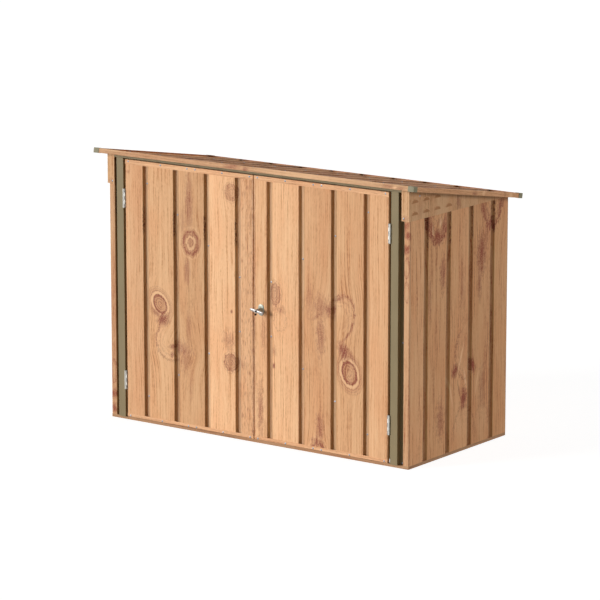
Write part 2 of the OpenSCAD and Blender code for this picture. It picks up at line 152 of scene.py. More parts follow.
@dataclass
class Shape:
    """Vertices and quads of one piece while it is put together.

    Each vertex has its place on the print, and each quad its coat: 0 for the finish, 1 for the plain back of
    a sheet.
    """

    points: np.ndarray
    quads: np.ndarray
    prints: np.ndarray
    coats: np.ndarray | None = None

    def __post_init__(self) -> None:
        """Gives the finish to every quad unless the coats are given."""
        if self.coats is None:
            self.coats = np.zeros(len(self.quads), np.int32)

    @staticmethod
    def ribbon(rings: np.ndarray, prints: np.ndarray, inner_first: bool = False) -> "Shape":
        """Closed strip from rings whose two halves are the two faces of a sheet.

        Sides join each ring to the next, and the two end rings are closed by quads across the thickness.

        Args:
            rings: array of ring, point and coordinate.
            prints: array of ring, point and place on the print.
            inner_first: whether the first half is the inner face, and not the outer one.

        Returns:
            The shape.
        """
        count, around = rings.shape[:2]
        index = np.arange(count * around).reshape(count, around)
        turned = np.roll(index, -1, axis=1)
        sides = np.stack([index[:-1], turned[:-1], turned[1:], index[1:]], axis=-1).reshape(-1, 4)
        half = around // 2
        step = np.arange(half - 1)
        cap = np.stack([step, around - 1 - step, around - 2 - step, step + 1], axis=1)
        quads = np.vstack([sides, cap, cap[:, ::-1] + index[-1, 0]])
        place = np.arange(len(sides)) % around
        inner = place < half - 1 if inner_first else (place >= half) & (place < around - 1)
        coats = np.concatenate([inner, np.zeros(2 * len(cap), bool)])
        return Shape(rings.reshape(-1, 3), quads, prints.reshape(-1, 2), coats.astype(np.int32)).outward()

    @staticmethod
    def shell(grid: np.ndarray) -> "Shape":
        """Surface over a grid of points, closed round its second direction.

        Args:
            grid: array of row, column and coordinate; a row of equal points makes a pole.

        Returns:
            The shape.
        """
        rows, columns = grid.shape[:2]
        index = np.arange(rows * columns).reshape(rows, columns)
        index = np.hstack([index, index[:, :1]])
        quads = np.stack([index[:-1, :-1], index[:-1, 1:], index[1:, 1:], index[1:, :-1]], axis=-1)
        flat = grid.reshape(-1, 3)
        return Shape(flat, quads.reshape(-1, 4), flat[:, [0, 2]]).outward()

    def outward(self) -> "Shape":
        """Turns the faces outwards, by the sign of the volume that they enclose."""
        a, b, c, d = (self.points[self.quads[:, i]] for i in range(4))
        volume = (np.cross(a, b) * c).sum() + (np.cross(a, c) * d).sum()
        if volume < 0:
            self.quads = self.quads[:, ::-1]
        return self

    def mirrored(self, mirror: bool) -> "Shape":
        """Mirror image in the plane X = 0 if asked for, with the faces still outwards."""
        if not mirror:
            return self
        points = self.points * np.array([-1, 1, 1])
        return Shape(points, self.quads[:, ::-1], self.prints, self.coats)

    def copies(self, places: np.ndarray | list) -> "Shape":
        """One copy of the shape moved to each of the places."""
        count = len(places)
        points = (self.points[None] + np.asarray(places, float)[:, None]).reshape(-1, 3)
        shift = np.arange(count)[:, None, None] * len(self.points)
        quads = (self.quads[None] + shift).reshape(-1, 4)
        return Shape(points, quads, np.tile(self.prints, (count, 1)), np.tile(self.coats, count))

    def plus(self, other: "Shape") -> "Shape":
        """Both shapes as one."""
        return Shape(
            np.vstack([self.points, other.points]),
            np.vstack([self.quads, other.quads + len(self.points)]),
            np.vstack([self.prints, other.prints]),
            np.concatenate([self.coats, other.coats]),
        )

    def to_object(self, name: str, crease: float = CREASE) -> bpy.types.Object:
        """Makes the mesh and its object.

        Args:
            name: the piece's name.
            crease: angle in degrees above which an edge stays sharp.

        Returns:
            The new object, at the origin.
        """
        mesh = bpy.data.meshes.new(name)
        mesh.from_pydata(self.points.tolist(), [], self.quads.tolist())
        layer = mesh.uv_layers.new(name=PRINT_MAP)
        corners = np.zeros(len(mesh.loops), np.int32)
        mesh.loops.foreach_get("vertex_index", corners)
        layer.data.foreach_set("uv", self.prints[corners].astype(np.float32).ravel())
        mesh.polygons.foreach_set("material_index", self.coats)
        work = bmesh.new()
        work.from_mesh(mesh)
        bmesh.ops.remove_doubles(work, verts=work.verts, dist=1e-6)
        work.to_mesh(mesh)
        work.free()
        return finish_mesh(mesh, name, crease)


def finish_mesh(mesh: bpy.types.Mesh, name: str, crease: float) -> bpy.types.Object:
    """Smooths a mesh except at its sharp edges and puts it in the scene."""
    mesh.shade_smooth()
    mesh.set_sharp_from_angle(angle=math.radians(crease))
    piece = bpy.data.objects.new(name, mesh)
    bpy.context.scene.collection.objects.link(piece)
    return piece


def lathe(profile: list[Point], segments: int = 32) -> np.ndarray:
    """Points of a turned shape about -Y: radius r and height h give (r cos a, -h, r sin a)."""
    r, h = np.asarray(profile, float).T
    a = np.linspace(0, 2 * np.pi, segments, endpoint=False)
    return np.stack([np.outer(r, np.cos(a)), -np.repeat(h[:, None], segments, 1), np.outer(r, np.sin(a))], -1)


def superellipse(wave: np.ndarray, power: float = 4.0) -> np.ndarray:
    """Sine or cosine carried onto a superellipse: its sign times its size to the power 2 / power."""
    return np.sign(wave) * np.abs(wave) ** (2 / power)


def drill(piece: bpy.types.Object, middle: np.ndarray, radius: float, reach: float, segments: int = 48) -> None:
    """Cuts a round hole along Y through a piece, and leaves its print and coats as they are.

    Args:
        piece: the piece, at the origin.
        middle: a point on the hole's axis.
        radius: the hole's radius.
        reach: how far the cut goes to each side of that point.
        segments: sides of the hole.
    """
    profile = [(0.0, -reach), (radius, -reach), (radius, reach), (0.0, reach)]
    cutter = Shape.shell(lathe(profile, segments) + middle).to_object("drill")
    cut = piece.modifiers.new("drill", "BOOLEAN")
    cut.operation, cut.solver, cut.object = "DIFFERENCE", "EXACT", cutter
    whole, name = piece.data, piece.data.name
    drilled = bpy.data.meshes.new_from_object(piece.evaluated_get(bpy.context.evaluated_depsgraph_get()))
    piece.modifiers.clear()
    piece.data = drilled
    spare = [whole, cutter.data]
    bpy.data.objects.remove(cutter)
    for mesh in spare:
        bpy.data.meshes.remove(mesh)
    drilled.name = name
    drilled.set_sharp_from_angle(angle=math.radians(CREASE))


# ---------------------------------------------------------------- finishes


class NodeSheet:
    """Lays out the shader nodes of one material."""

    def __init__(self, name: str) -> None:
        """Makes an empty material with its output."""
        self.material = bpy.data.materials.new(name)
        self.material.use_nodes = True
        self.tree = self.material.node_tree
        self.tree.nodes.clear()
        self.output = self.tree.nodes.new("ShaderNodeOutputMaterial")

    def node(self, kind: str, **settings: object) -> bpy.types.Node:
        """Adds a node and sets its properties."""
        new = self.tree.nodes.new(kind)
        for key, value in settings.items():
            setattr(new, key, value)
        return new

    def feed(self, socket: bpy.types.NodeSocket, value: object) -> None:
        """Links a socket to a socket, or sets its value."""
        if isinstance(value, bpy.types.NodeSocket):
            self.tree.links.new(value, socket)
        elif isinstance(value, tuple) and len(value) == 3 and socket.type == "RGBA":
            socket.default_value = (*value, 1.0)
        else:
            socket.default_value = value

    def math(self, operation: str, *values: object, clamp: bool = False) -> bpy.types.NodeSocket:
        """Result of a Math node on the values."""
        new = self.node("ShaderNodeMath", operation=operation, use_clamp=clamp)
        for socket, value in zip(new.inputs, values):
            self.feed(socket, value)
        return new.outputs[0]

    def total(self, values: list, operation: str = "ADD") -> object:
        """All the values combined in pairs by one operation."""
        result = values[0]
        for value in values[1:]:
            result = self.math(operation, result, value)
        return result

    def plane(self, across: object, along: object) -> bpy.types.NodeSocket:
        """Vector of two numbers."""
        new = self.node("ShaderNodeCombineXYZ")
        self.feed(new.inputs[0], across)
        self.feed(new.inputs[1], along)
        return new.outputs[0]

    def scaled(self, vector: object, across: float, along: float, deep: float = 1.0) -> bpy.types.NodeSocket:
        """Vector multiplied part by part."""
        new = self.node("ShaderNodeVectorMath", operation="MULTIPLY")
        self.feed(new.inputs[0], vector)
        new.inputs[1].default_value = (across, along, deep)
        return new.outputs[0]

    def noise(self, vector: object, scale: float, detail: float, rough: float = 0.5,
              flat: bool = True) -> bpy.types.NodeSocket:
        """Value of a noise texture."""
        new = self.node("ShaderNodeTexNoise", noise_dimensions="2D" if flat else "3D")
        self.feed(new.inputs["Vector"], vector)
        new.inputs["Scale"].default_value = scale
        new.inputs["Detail"].default_value = detail
        new.inputs["Roughness"].default_value = rough
        return new.outputs[0]

    def stretched(self, vector: object, across: float, along: float, detail: float,
                  rough: float) -> bpy.types.NodeSocket:
        """Flat noise with its own scale across and along the grain."""
        return self.noise(self.scaled(vector, across, along), 1.0, detail, rough)

    def ramp(self, value: object, stops: list, constant: bool = False) -> bpy.types.NodeSocket:
        """Colour, or grey, that a value has on a ramp of stops."""
        new = self.node("ShaderNodeValToRGB")
        new.color_ramp.interpolation = "CONSTANT" if constant else "LINEAR"
        elements = new.color_ramp.elements
        while len(elements) < len(stops):
            elements.new(1.0)
        for element, (place, tone) in zip(elements, stops):
            element.position = place
            element.color = (*tone, 1.0) if isinstance(tone, tuple) else (tone, tone, tone, 1.0)
        self.feed(new.inputs[0], value)
        return new.outputs[0]

    def range(self, value: object, low: float, high: float, to_low: float, to_high: float) -> bpy.types.NodeSocket:
        """Value carried from one range to another, and held inside it."""
        new = self.node("ShaderNodeMapRange")
        for socket, number in zip(new.inputs, (value, low, high, to_low, to_high)):
            self.feed(socket, number)
        return new.outputs[0]

    def mix(self, share: object, first: object, second: object, blend: str = "MIX") -> bpy.types.NodeSocket:
        """Mix of two colours."""
        new = self.node("ShaderNodeMix", data_type="RGBA", blend_type=blend)
        self.feed(new.inputs["Factor"], share)
        self.feed(new.inputs[6], first)
        self.feed(new.inputs[7], second)
        return new.outputs[2]

    def surface(self, colour: object, roughness: object, metallic: float = 0.0, specular: float = 0.5,
                height: object = None, relief: float = 0.0) -> bpy.types.Material:
        """Ends the sheet with a principled shader.

        Args:
            colour: base colour.
            roughness: roughness.
            metallic: 1 for bare metal.
            specular: specular level.
            height: height for the bump, if any.
            relief: distance that a height of 1 stands for, in metres.

        Returns:
            The material.
        """
        shader = self.node("ShaderNodeBsdfPrincipled")
        self.feed(shader.inputs["Base Color"], colour)
        self.feed(shader.inputs["Roughness"], roughness)
        shader.inputs["Metallic"].default_value = metallic
        shader.inputs["Specular IOR Level"].default_value = specular
        if height is not None:
            bump = self.node("ShaderNodeBump")
            bump.inputs["Distance"].default_value = relief
            self.feed(bump.inputs["Height"], height)
            self.tree.links.new(bump.outputs[0], shader.inputs["Normal"])
        self.tree.links.new(shader.outputs[0], self.output.inputs[0])
        return self.material


class Figure(Enum):
    """What a mark in the print looks like: darkness and lightness against the distance from its middle."""

    RING = (
        [(0.0, 0.8), (0.16, 0.45), (0.3, 0.75), (0.4, 0.15), (0.55, 0.1), (0.66, 0.7), (0.76, 0.35), (0.86, 0.9),
         (0.98, 0.75), (1.06, 0.2), (1.16, 0.3), (1.24, 0.0)],
        [(0.34, 0.0), (0.46, 0.55), (0.56, 0.45), (0.64, 0.0), (1.2, 0.0), (1.28, 0.3), (1.4, 0.0)])
    EYE = (
        [(0.0, 0.5), (0.14, 0.15), (0.26, 0.65), (0.4, 0.15), (0.52, 0.65), (0.66, 0.25), (0.8, 1.0), (0.93, 0.95),
         (1.0, 0.05), (1.24, 0.05), (1.32, 0.65), (1.42, 0.1), (1.52, 0.4), (1.62, 0.05), (1.72, 0.25), (1.82, 0.0)],
        [(0.97, 0.0), (1.04, 0.55), (1.16, 0.55), (1.27, 0.0)])
    ROUND = (
        [(0.0, 0.75), (0.2, 0.35), (0.36, 0.7), (0.5, 0.3), (0.66, 0.75), (0.8, 0.4), (0.95, 0.85), (1.1, 0.0),
         (1.24, 0.3), (1.36, 0.0)],
        [(1.06, 0.0), (1.16, 0.25), (1.26, 0.0)])
    SMEAR = ([(0.0, 0.9), (0.35, 0.7), (0.7, 0.35), (1.0, 0.0)], [])
    DOT = ([(0.0, 1.0), (0.4, 0.8), (0.8, 0.2), (1.0, 0.0)], [])
    LOOP = (
        [(0.0, 0.0), (0.4, 0.0), (0.48, 0.45), (0.56, 0.0), (0.66, 0.05), (0.76, 0.7), (0.84, 0.15), (0.9, 0.25),
         (1.0, 1.0), (1.08, 0.6), (1.16, 0.0)], [])
    CURL = (
        [(0.0, 0.0), (0.5, 0.0), (0.55, 0.35), (0.6, 0.0), (0.7, 0.0), (0.76, 0.45), (0.82, 0.0), (0.92, 0.1),
         (1.0, 0.9), (1.07, 0.15), (1.15, 0.0)], [(0.0, 0.0), (0.3, 0.2), (0.9, 0.2), (1.0, 0.0)])
    GLOW = ([], [(0.0, 0.9), (0.5, 0.7), (1.0, 0.0)])


@dataclass(frozen=True)
class Mark:
    """A knot, smear or line of the print; places and sizes in metres across and along the grain.

    A half mark is drawn only on the far side of its middle.
    """

    figure: Figure
    across: float
    along: float
    half_across: float
    half_along: float
    tilt: float = 0.0
    strength: float = 1.0
    ragged: float = 0.18
    push: float = 0.0
    half: bool = False


def marks(*rows: tuple) -> tuple[Mark, ...]:
    """Marks from rows of figure, the two places and half sizes in millimetres, and the rest in Mark's order."""
    return tuple(Mark(row[0], *(size / 1000 for size in row[1:5]), *row[5:]) for row in rows)


RING, EYE, ROUND, SMEAR, DOT, LOOP, CURL, GLOW = Figure


@dataclass(frozen=True)
class Palette:
    """Colours of a print."""

    pale: Colour
    middle: Colour
    deep: Colour
    mark: Colour
    glow: Colour


PINE = Palette(linear(254, 206, 158), linear(243, 190, 142), linear(204, 146, 100), linear(146, 78, 62),
               linear(254, 208, 160))
TRIM_PINE = Palette(linear(250, 199, 152), linear(232, 179, 134), linear(200, 144, 104), linear(156, 88, 66),
                    linear(248, 198, 150))
SIDE_PINE = Palette(linear(254, 207, 160), linear(243, 189, 142), linear(196, 128, 92), linear(150, 74, 54),
                    linear(254, 208, 160))
ROOF_PINE = Palette(linear(240, 186, 134), linear(216, 161, 112), linear(164, 113, 74), linear(120, 72, 48),
                    linear(236, 184, 134))


@dataclass(frozen=True)
class GrooveShade:
    """Painted shade in the grooves of a sheet: the print is darkened on the groove floors and flanks, where shade
    falls.

    The tint goes by the distance from a groove's middle, as a share of half the pitch. Blots darken the
    flanks between two heights, which they fade in and out over FADE.
    """

    BLOT: ClassVar[Colour] = linear(84, 34, 22)
    FADE: ClassVar[float] = 0.02
    FLANK: ClassVar[tuple] = ((0.0, 0.0), (0.09, 0.0), (0.12, 1.0), (0.19, 1.0), (0.215, 0.0))

    at: float = 0.1
    blots_from: float = 1.01
    blots_to: float = 1.14
    pitch: float = 0.2
    # floor and flank: painted shade, the tints that darken the print on the groove floors and flanks
    floor: Colour = (0.71, 0.76, 0.81)
    flank: Colour = (0.62, 0.59, 0.47)

    def tints(self) -> list:
        """Stops of the painted shade: floor, flank and face."""
        face = (1.0, 1.0, 1.0)
        return [(0.0, self.floor), (0.085, self.floor), (0.115, self.flank), (0.165, self.flank), (0.19, face)]


@dataclass(frozen=True)
class WoodPrint:
    """Printed wood grain on painted sheet, across and along the piece's own print map.

    Tones are the boards' tints from one place across the grain to the next. Dashes are short dark strokes,
    thick up to `dash_edge` from the print's start and sparse beyond it. BLUSH is the pinker tone of some
    patches. Each noise from BROAD to DASH is its scale across and along the grain, its detail and its
    roughness. SWAY is the stretch, scale and reach of the bend of the whole grain. GROWTH is how far the
    broad noise bends the growth lines, how close they lie and how thin they are. SHARES are the parts of
    the broad, long, streak and fibre noises and of the growth lines in the level. LEVELS are where the
    deep, middle and pale colours lie on it. HALF_FADE is where a half mark fades in, in half sizes, and BELL
    the fall of the push around a mark.
    """

    BLUSH: ClassVar[Colour] = (0.97, 0.87, 0.82)
    BROAD: ClassVar[tuple] = (9.0, 0.9, 2.0, 0.55)
    LONG: ClassVar[tuple] = (130.0, 1.6, 2.0, 0.5)
    STREAK: ClassVar[tuple] = (150.0, 10.0, 3.0, 0.6)
    FIBRE: ClassVar[tuple] = (290.0, 60.0, 2.0, 0.6)
    PATCH: ClassVar[tuple] = (10.0, 3.0, 2.0, 0.5)
    DASH: ClassVar[tuple] = (210.0, 26.0, 1.0, 0.5)
    SWAY: ClassVar[tuple] = (0.35, 5.0, 0.014)
    GROWTH: ClassVar[tuple] = (55.0, 300.0, 5.0)
    SHARES: ClassVar[tuple] = (0.22, 0.34, 0.24, 0.20, -0.035)
    LEVELS: ClassVar[tuple] = (0.36, 0.46, 0.60)
    THICK_DASHES: ClassVar[float] = 0.42
    HALF_FADE: ClassVar[Point] = (-0.15, 0.35)
    BELL: ClassVar[float] = -0.45

    name: str
    palette: Palette = PINE
    tones: tuple[tuple[float, Colour], ...] = ((0.0, (1.0, 1.0, 1.0)),)
    marks: tuple[Mark, ...] = ()
    low: float = -1.0
    high: float = 1.0
    shift: float = 0.0
    gloss: float = 0.15
    grooves: GrooveShade | None = None
    dash_edge: float = -10.0
    dashes: float = 0.15
    relief: float = 0.25 * MM

    def draw_mark(self, s: NodeSheet, mark: Mark, place: object, wobble: object) -> tuple:
        """Darkness and lightness of one mark, and the distance from its middle.

        Args:
            s: the sheet of nodes.
            mark: the mark.
            place: the print's place.
            wobble: noise around zero that makes the outline uneven.

        Returns:
            Darkness or None, lightness or None, and the distance in half sizes of the mark.
        """
        local = s.node("ShaderNodeMapping", vector_type="TEXTURE")
        s.feed(local.inputs[0], place)
        local.inputs["Location"].default_value = (mark.across, mark.along, 0.0)
        local.inputs["Rotation"].default_value = (0.0, 0.0, math.radians(mark.tilt))
        local.inputs["Scale"].default_value = (mark.half_across, mark.half_along, 1.0)
        reach = s.node("ShaderNodeVectorMath", operation="LENGTH")
        s.feed(reach.inputs[0], local.outputs[0])
        distance = reach.outputs["Value"]
        half = s.math("MULTIPLY", s.math("MULTIPLY_ADD", wobble, mark.ragged * 2, distance), 0.5)
        share: object = mark.strength
        if mark.half:
            split = s.node("ShaderNodeSeparateXYZ")
            s.feed(split.inputs[0], local.outputs[0])
            share = s.range(split.outputs[0], *self.HALF_FADE, 0.0, mark.strength)
        drawn = [s.math("MULTIPLY", s.ramp(half, [(far / 2, tone) for far, tone in tones]), share)
                 if tones else None for tones in mark.figure.value]
        return drawn[0], drawn[1], distance

    def grain(self, s: NodeSheet, across: object, along: object) -> tuple:
        """Level of the grain and its streaks and fibres.

        Noise stretched along the grain at four scales, with thin growth lines where the sine of the place
        across, bent by the broadest noise, peaks.

        Args:
            s: the sheet of nodes.
            across: place across the grain, already pushed aside round the knots.
            along: place along the grain.

        Returns:
            The level, the streaks, the fibres and the place of the grain.
        """
        stretch, scale, reach = self.SWAY
        bend = s.noise(s.plane(across, s.math("MULTIPLY", along, stretch)), scale, 1.0)
        sway = s.math("MULTIPLY_ADD", bend, reach, across)
        flow = s.plane(s.math("ADD", sway, self.shift), along)
        broad, long, streak, fibre = (s.stretched(flow, *n) for n in (self.BROAD, self.LONG, self.STREAK, self.FIBRE))
        bent, close, thin = self.GROWTH
        wave = s.math("SINE", s.math("MULTIPLY_ADD", broad, bent, s.math("MULTIPLY", sway, close)))
        lines = s.math("POWER", s.math("MULTIPLY_ADD", wave, 0.5, 0.5), thin)
        parts = zip((broad, long, streak, fibre, lines), self.SHARES)
        level = s.total([s.math("MULTIPLY", part, share) for part, share in parts])
        return level, streak, fibre, flow

    def shade_grooves(self, s: NodeSheet, colour: object, across: object, along: object, speck: object) -> object:
        """Darkens the floors and flanks of the grooves with painted shade and adds their blots."""
        g = self.grooves
        turns = s.math("MULTIPLY_ADD", across, 1 / g.pitch, 0.5 - g.at / g.pitch)
        near = s.math("ABSOLUTE", s.math("SUBTRACT", s.math("FRACT", turns), 0.5))
        reach = s.math("MULTIPLY", near, 2.0)
        colour = s.mix(1.0, colour, s.ramp(reach, g.tints()), "MULTIPLY")
        start = s.range(along, g.blots_from, g.blots_from + g.FADE, 0.0, 1.0)
        end = s.range(along, g.blots_to, g.blots_to + g.FADE, 1.0, 0.0)
        share = s.total([s.ramp(reach, list(g.FLANK)), start, end, s.range(speck, 0.46, 0.54, 0.0, 0.75)], "MULTIPLY")
        return s.mix(share, colour, g.BLOT)

    def build(self) -> bpy.types.Material:
        """Draws the print.

        The place across the grain is pushed aside around each mark, boards differ by a stepped tone, dashes
        are the peaks of a short noise, and marks are ramps over their own distance, hatched by the grain.

        Returns:
            The material.
        """
        s, p = NodeSheet(self.name), self.palette
        place = s.node("ShaderNodeUVMap", uv_map=PRINT_MAP).outputs[0]
        split = s.node("ShaderNodeSeparateXYZ")
        s.feed(split.inputs[0], place)
        across, along = split.outputs[0], split.outputs[1]
        wobble = s.math("SUBTRACT", s.noise(s.scaled(place, 1.0, 0.6), 70.0, 3.0, 0.7), 0.5)
        dark, light, grain = [], [], across
        for mark in self.marks:
            darkness, lightness, distance = self.draw_mark(s, mark, place, wobble)
            dark += [darkness] if darkness else []
            light += [lightness] if lightness else []
            if mark.push:
                bell = s.math("EXPONENT", s.math("MULTIPLY", s.math("POWER", distance, 2.0), self.BELL))
                side = s.math("SUBTRACT", across, mark.across)
                grain = s.math("SUBTRACT", grain, s.math("MULTIPLY", s.math("MULTIPLY", side, bell), mark.push))
        level, streak, fibre, flow = self.grain(s, grain, along)
        colour = s.ramp(level, list(zip(self.LEVELS, (p.deep, p.middle, p.pale))))
        patch = s.stretched(flow, *self.PATCH)
        colour = s.mix(s.range(patch, 0.42, 0.68, 0.0, 0.6), colour, self.BLUSH, "MULTIPLY")
        span = self.high - self.low
        stops = [((edge - self.low) / span, tone) for edge, tone in self.tones]
        board = s.ramp(s.range(across, self.low, self.high, 0.0, 1.0), stops, constant=True)
        colour = s.mix(1.0, colour, board, "MULTIPLY")
        short = s.stretched(flow, *self.DASH)
        thick = s.range(across, self.dash_edge, self.dash_edge + 0.02, self.THICK_DASHES, self.dashes)
        dashes = s.math("MULTIPLY", s.range(short, 0.58, 0.70, 0.0, 1.0), thick)
        colour = s.mix(dashes, colour, p.mark)
        if light:
            colour = s.mix(s.math("MINIMUM", s.total(light, "MAXIMUM"), 1.0), colour, p.glow)
        if dark:
            speck = s.noise(s.scaled(place, 1.0, 0.7), 260.0, 2.0, 0.6)
            hatch = s.math("MULTIPLY", s.range(streak, 0.35, 0.65, 1.15, 0.7), s.range(speck, 0.36, 0.6, 0.55, 1.25))
            colour = s.mix(s.math("MULTIPLY", s.total(dark, "MAXIMUM"), hatch, clamp=True), colour, p.mark)
        if self.grooves:
            colour = self.shade_grooves(s, colour, across, along, fibre)
        height = s.math("MULTIPLY_ADD", streak, 0.6, s.math("MULTIPLY", fibre, 0.4))
        return s.surface(colour, s.range(streak, 0.3, 0.7, 0.62, 0.5), specular=self.gloss, height=height,
                         relief=self.relief)


@dataclass(frozen=True)
class Paint:
    """Satin paint on sheet steel, with a faint orange peel and a little unevenness of tone."""

    name: str
    colour: Colour
    dim: Colour
    roughness: float = 0.5
    gloss: float = 0.4

    def build(self) -> bpy.types.Material:
        """Mixes two close tones by a soft noise and adds a fine bump."""
        s = NodeSheet(self.name)
        place = s.node("ShaderNodeTexCoord").outputs["Object"]
        cloud = s.noise(s.scaled(place, 1.0, 1.0, 0.25), 22.0, 3.0, flat=False)
        peel = s.noise(place, 900.0, 1.0, flat=False)
        colour = s.mix(s.range(cloud, 0.3, 0.7, 0.0, 1.0), self.dim, self.colour)
        rough = s.range(cloud, 0.3, 0.7, self.roughness + 0.06, self.roughness - 0.05)
        return s.surface(colour, rough, specular=self.gloss, height=peel, relief=0.06 * MM)


@dataclass(frozen=True)
class Metal:
    """Bare or plated steel with fine brushing and patches of other roughness."""

    name: str
    colour: Colour
    dim: Colour
    roughness: float
    spangle: float = 0.0
    metallic: float = 1.0

    def build(self) -> bpy.types.Material:
        """Brushing is noise stretched along Z; spangle is a cell pattern of a galvanized skin."""
        s = NodeSheet(self.name)
        place = s.node("ShaderNodeTexCoord").outputs["Object"]
        brushed = s.noise(s.scaled(place, 1.0, 1.0, 0.06), 1400.0, 2.0, flat=False)
        cloud = s.noise(place, 60.0, 3.0, flat=False)
        level = s.math("MULTIPLY_ADD", cloud, 0.7, s.math("MULTIPLY", brushed, 0.3))
        if self.spangle:
            cells = s.node("ShaderNodeTexVoronoi")
            s.feed(cells.inputs["Vector"], place)
            cells.inputs["Scale"].default_value = 90.0
            level = s.math("MULTIPLY_ADD", cells.outputs["Distance"], self.spangle, level)
        colour = s.mix(s.range(level, 0.3, 0.8, 0.0, 1.0), self.dim, self.colour)
        rough = s.range(level, 0.3, 0.8, self.roughness + 0.08, self.roughness - 0.05)
        return s.surface(colour, rough, metallic=self.metallic, height=brushed, relief=0.02 * MM)


# Rows: figure; places across and along the grain, half sizes across and along it, in millimetres; then tilt,
# strength, raggedness, push and half, as far as they differ from a plain mark

# Marks of the door sheets: across is the distance from the meeting edge, along the height on the left door
DOOR_MARKS = marks(
    (RING, 403, 999, 53, 64, 0, 1, 0.24, 0.55),
    (SMEAR, 415, 1200, 32, 200, 0, 0.75, 0.6),
    (SMEAR, 455, 1100, 20, 120, 0, 0.45, 0.6),
    (SMEAR, 428, 850, 26, 95, 0, 0.75, 0.5),
    (EYE, 607, 652, 43, 58, -37, 1, 0.12, 0.8),
    (SMEAR, 586, 574, 46, 58, 52, 1.3, 0.5),
    (SMEAR, 630, 600, 22, 44, -50, 0.9, 0.5),
    (CURL, 535, 462, 100, 100, -30, 0.7, 0.2, 0.5, True),
    (SMEAR, 462, 432, 80, 50, 12, 0.8, 0.9, 0.4),
    (SMEAR, 515, 440, 50, 20, -18, 0.9, 0.6),
    (SMEAR, 440, 390, 50, 110, 0, 0.5, 0.9),
    (GLOW, 468, 430, 10, 14, 0, 1, 0.3),
    (DOT, 530, 392, 16, 24, 0, 0.9),
    (SMEAR, 420, 560, 20, 110, 0, 0.5, 0.5),
    (ROUND, 146, 403, 42, 46, 0, 0.95, 0.3, 0.5),
    (ROUND, 140, 1290, 40, 44, 0, 0.75, 0.35, 0.6),
    (SMEAR, 160, 520, 50, 65, 0, 0.6, 0.8),
    (SMEAR, 70, 400, 30, 30, 0, 0.5, 0.7),
    (SMEAR, 5, 700, 7, 1400, 0, 0.55, 0.9),
    (DOT, 140, 670, 10, 13),
    (DOT, 88, 640, 9, 12, 0, 0.6),
    (DOT, 815, 1330, 14, 14, 0, 0.5),
    (SMEAR, 405, 250, 18, 120, 0, 0.3, 0.5),
)
RIGHT_DOOR_MARKS = marks(
    (RING, 403, 999, 53, 64, 0, 1, 0.24, 0.55),
    (EYE, 596, 652, 43, 54, -52, 1, 0.14, 0.8),
    (SMEAR, 560, 575, 36, 52, -40, 1.4, 0.6),
    (SMEAR, 610, 590, 18, 50, -48, 0.8, 0.6),
    (CURL, 530, 452, 104, 80, -37, 0.8, 0.2, 0.5, True),
    (SMEAR, 580, 515, 8, 60, 47, 0.9, 0.4),
    (SMEAR, 474, 426, 46, 42, 0, 0.8, 0.9, 0.4),
    (SMEAR, 420, 420, 70, 60, 0, 0.6, 0.9),
    (SMEAR, 410, 446, 14, 60, 62, 0.7, 0.9),
    (SMEAR, 520, 382, 12, 70, 72, 0.9, 0.8),
    (SMEAR, 419, 530, 36, 100, 0, 0.75, 0.8),
    (SMEAR, 350, 400, 30, 90, 0, 0.4, 0.9),
    (SMEAR, 415, 880, 34, 80, 0, 0.85, 0.8),
    (SMEAR, 394, 935, 50, 18, 0, 0.9, 0.8),
    (ROUND, 131, 397, 36, 42, 0, 0.95, 0.3, 0.5),
    (CURL, 165, 495, 40, 40, 0, 0.5, 0.4, 0.4),
    (SMEAR, 160, 452, 50, 20, 0, 0.6, 0.9),
    (SMEAR, 124, 617, 24, 28, 0, 0.5, 0.8),
    (DOT, 124, 671, 13, 14, 0, 1.2, 0.4),
    (SMEAR, 40, 850, 28, 150, 0, 0.7, 0.9),
    (SMEAR, 60, 560, 20, 120, 0, 0.45, 0.9),
    (SMEAR, 5, 700, 7, 1400, 0, 0.5, 0.9),
)
# Painted light: the doors' meeting folds are lightened well above the print, so that the shaded gap between the doors
# reads pale
EDGE_PAINTED_LIGHT = (1.0, 1.16, 1.32)
DOOR_TONES = ((-0.02, EDGE_PAINTED_LIGHT), (0.003, (0.92, 0.89, 0.88)), (0.1, (1.06, 1.06, 1.06)), (0.3, (0.81, 0.78, 0.74)),
              (0.5, (0.90, 0.88, 0.85)), (0.7, (0.87, 0.83, 0.81)))
RIGHT_DOOR_TONES = ((-0.02, EDGE_PAINTED_LIGHT), (0.003, (0.97, 0.95, 0.93)), (0.1, (1.03, 1.03, 1.03)),
                    (0.3, (0.84, 0.79, 0.75)), (0.5, (0.84, 0.80, 0.76)), (0.7, (0.90, 0.86, 0.83)))

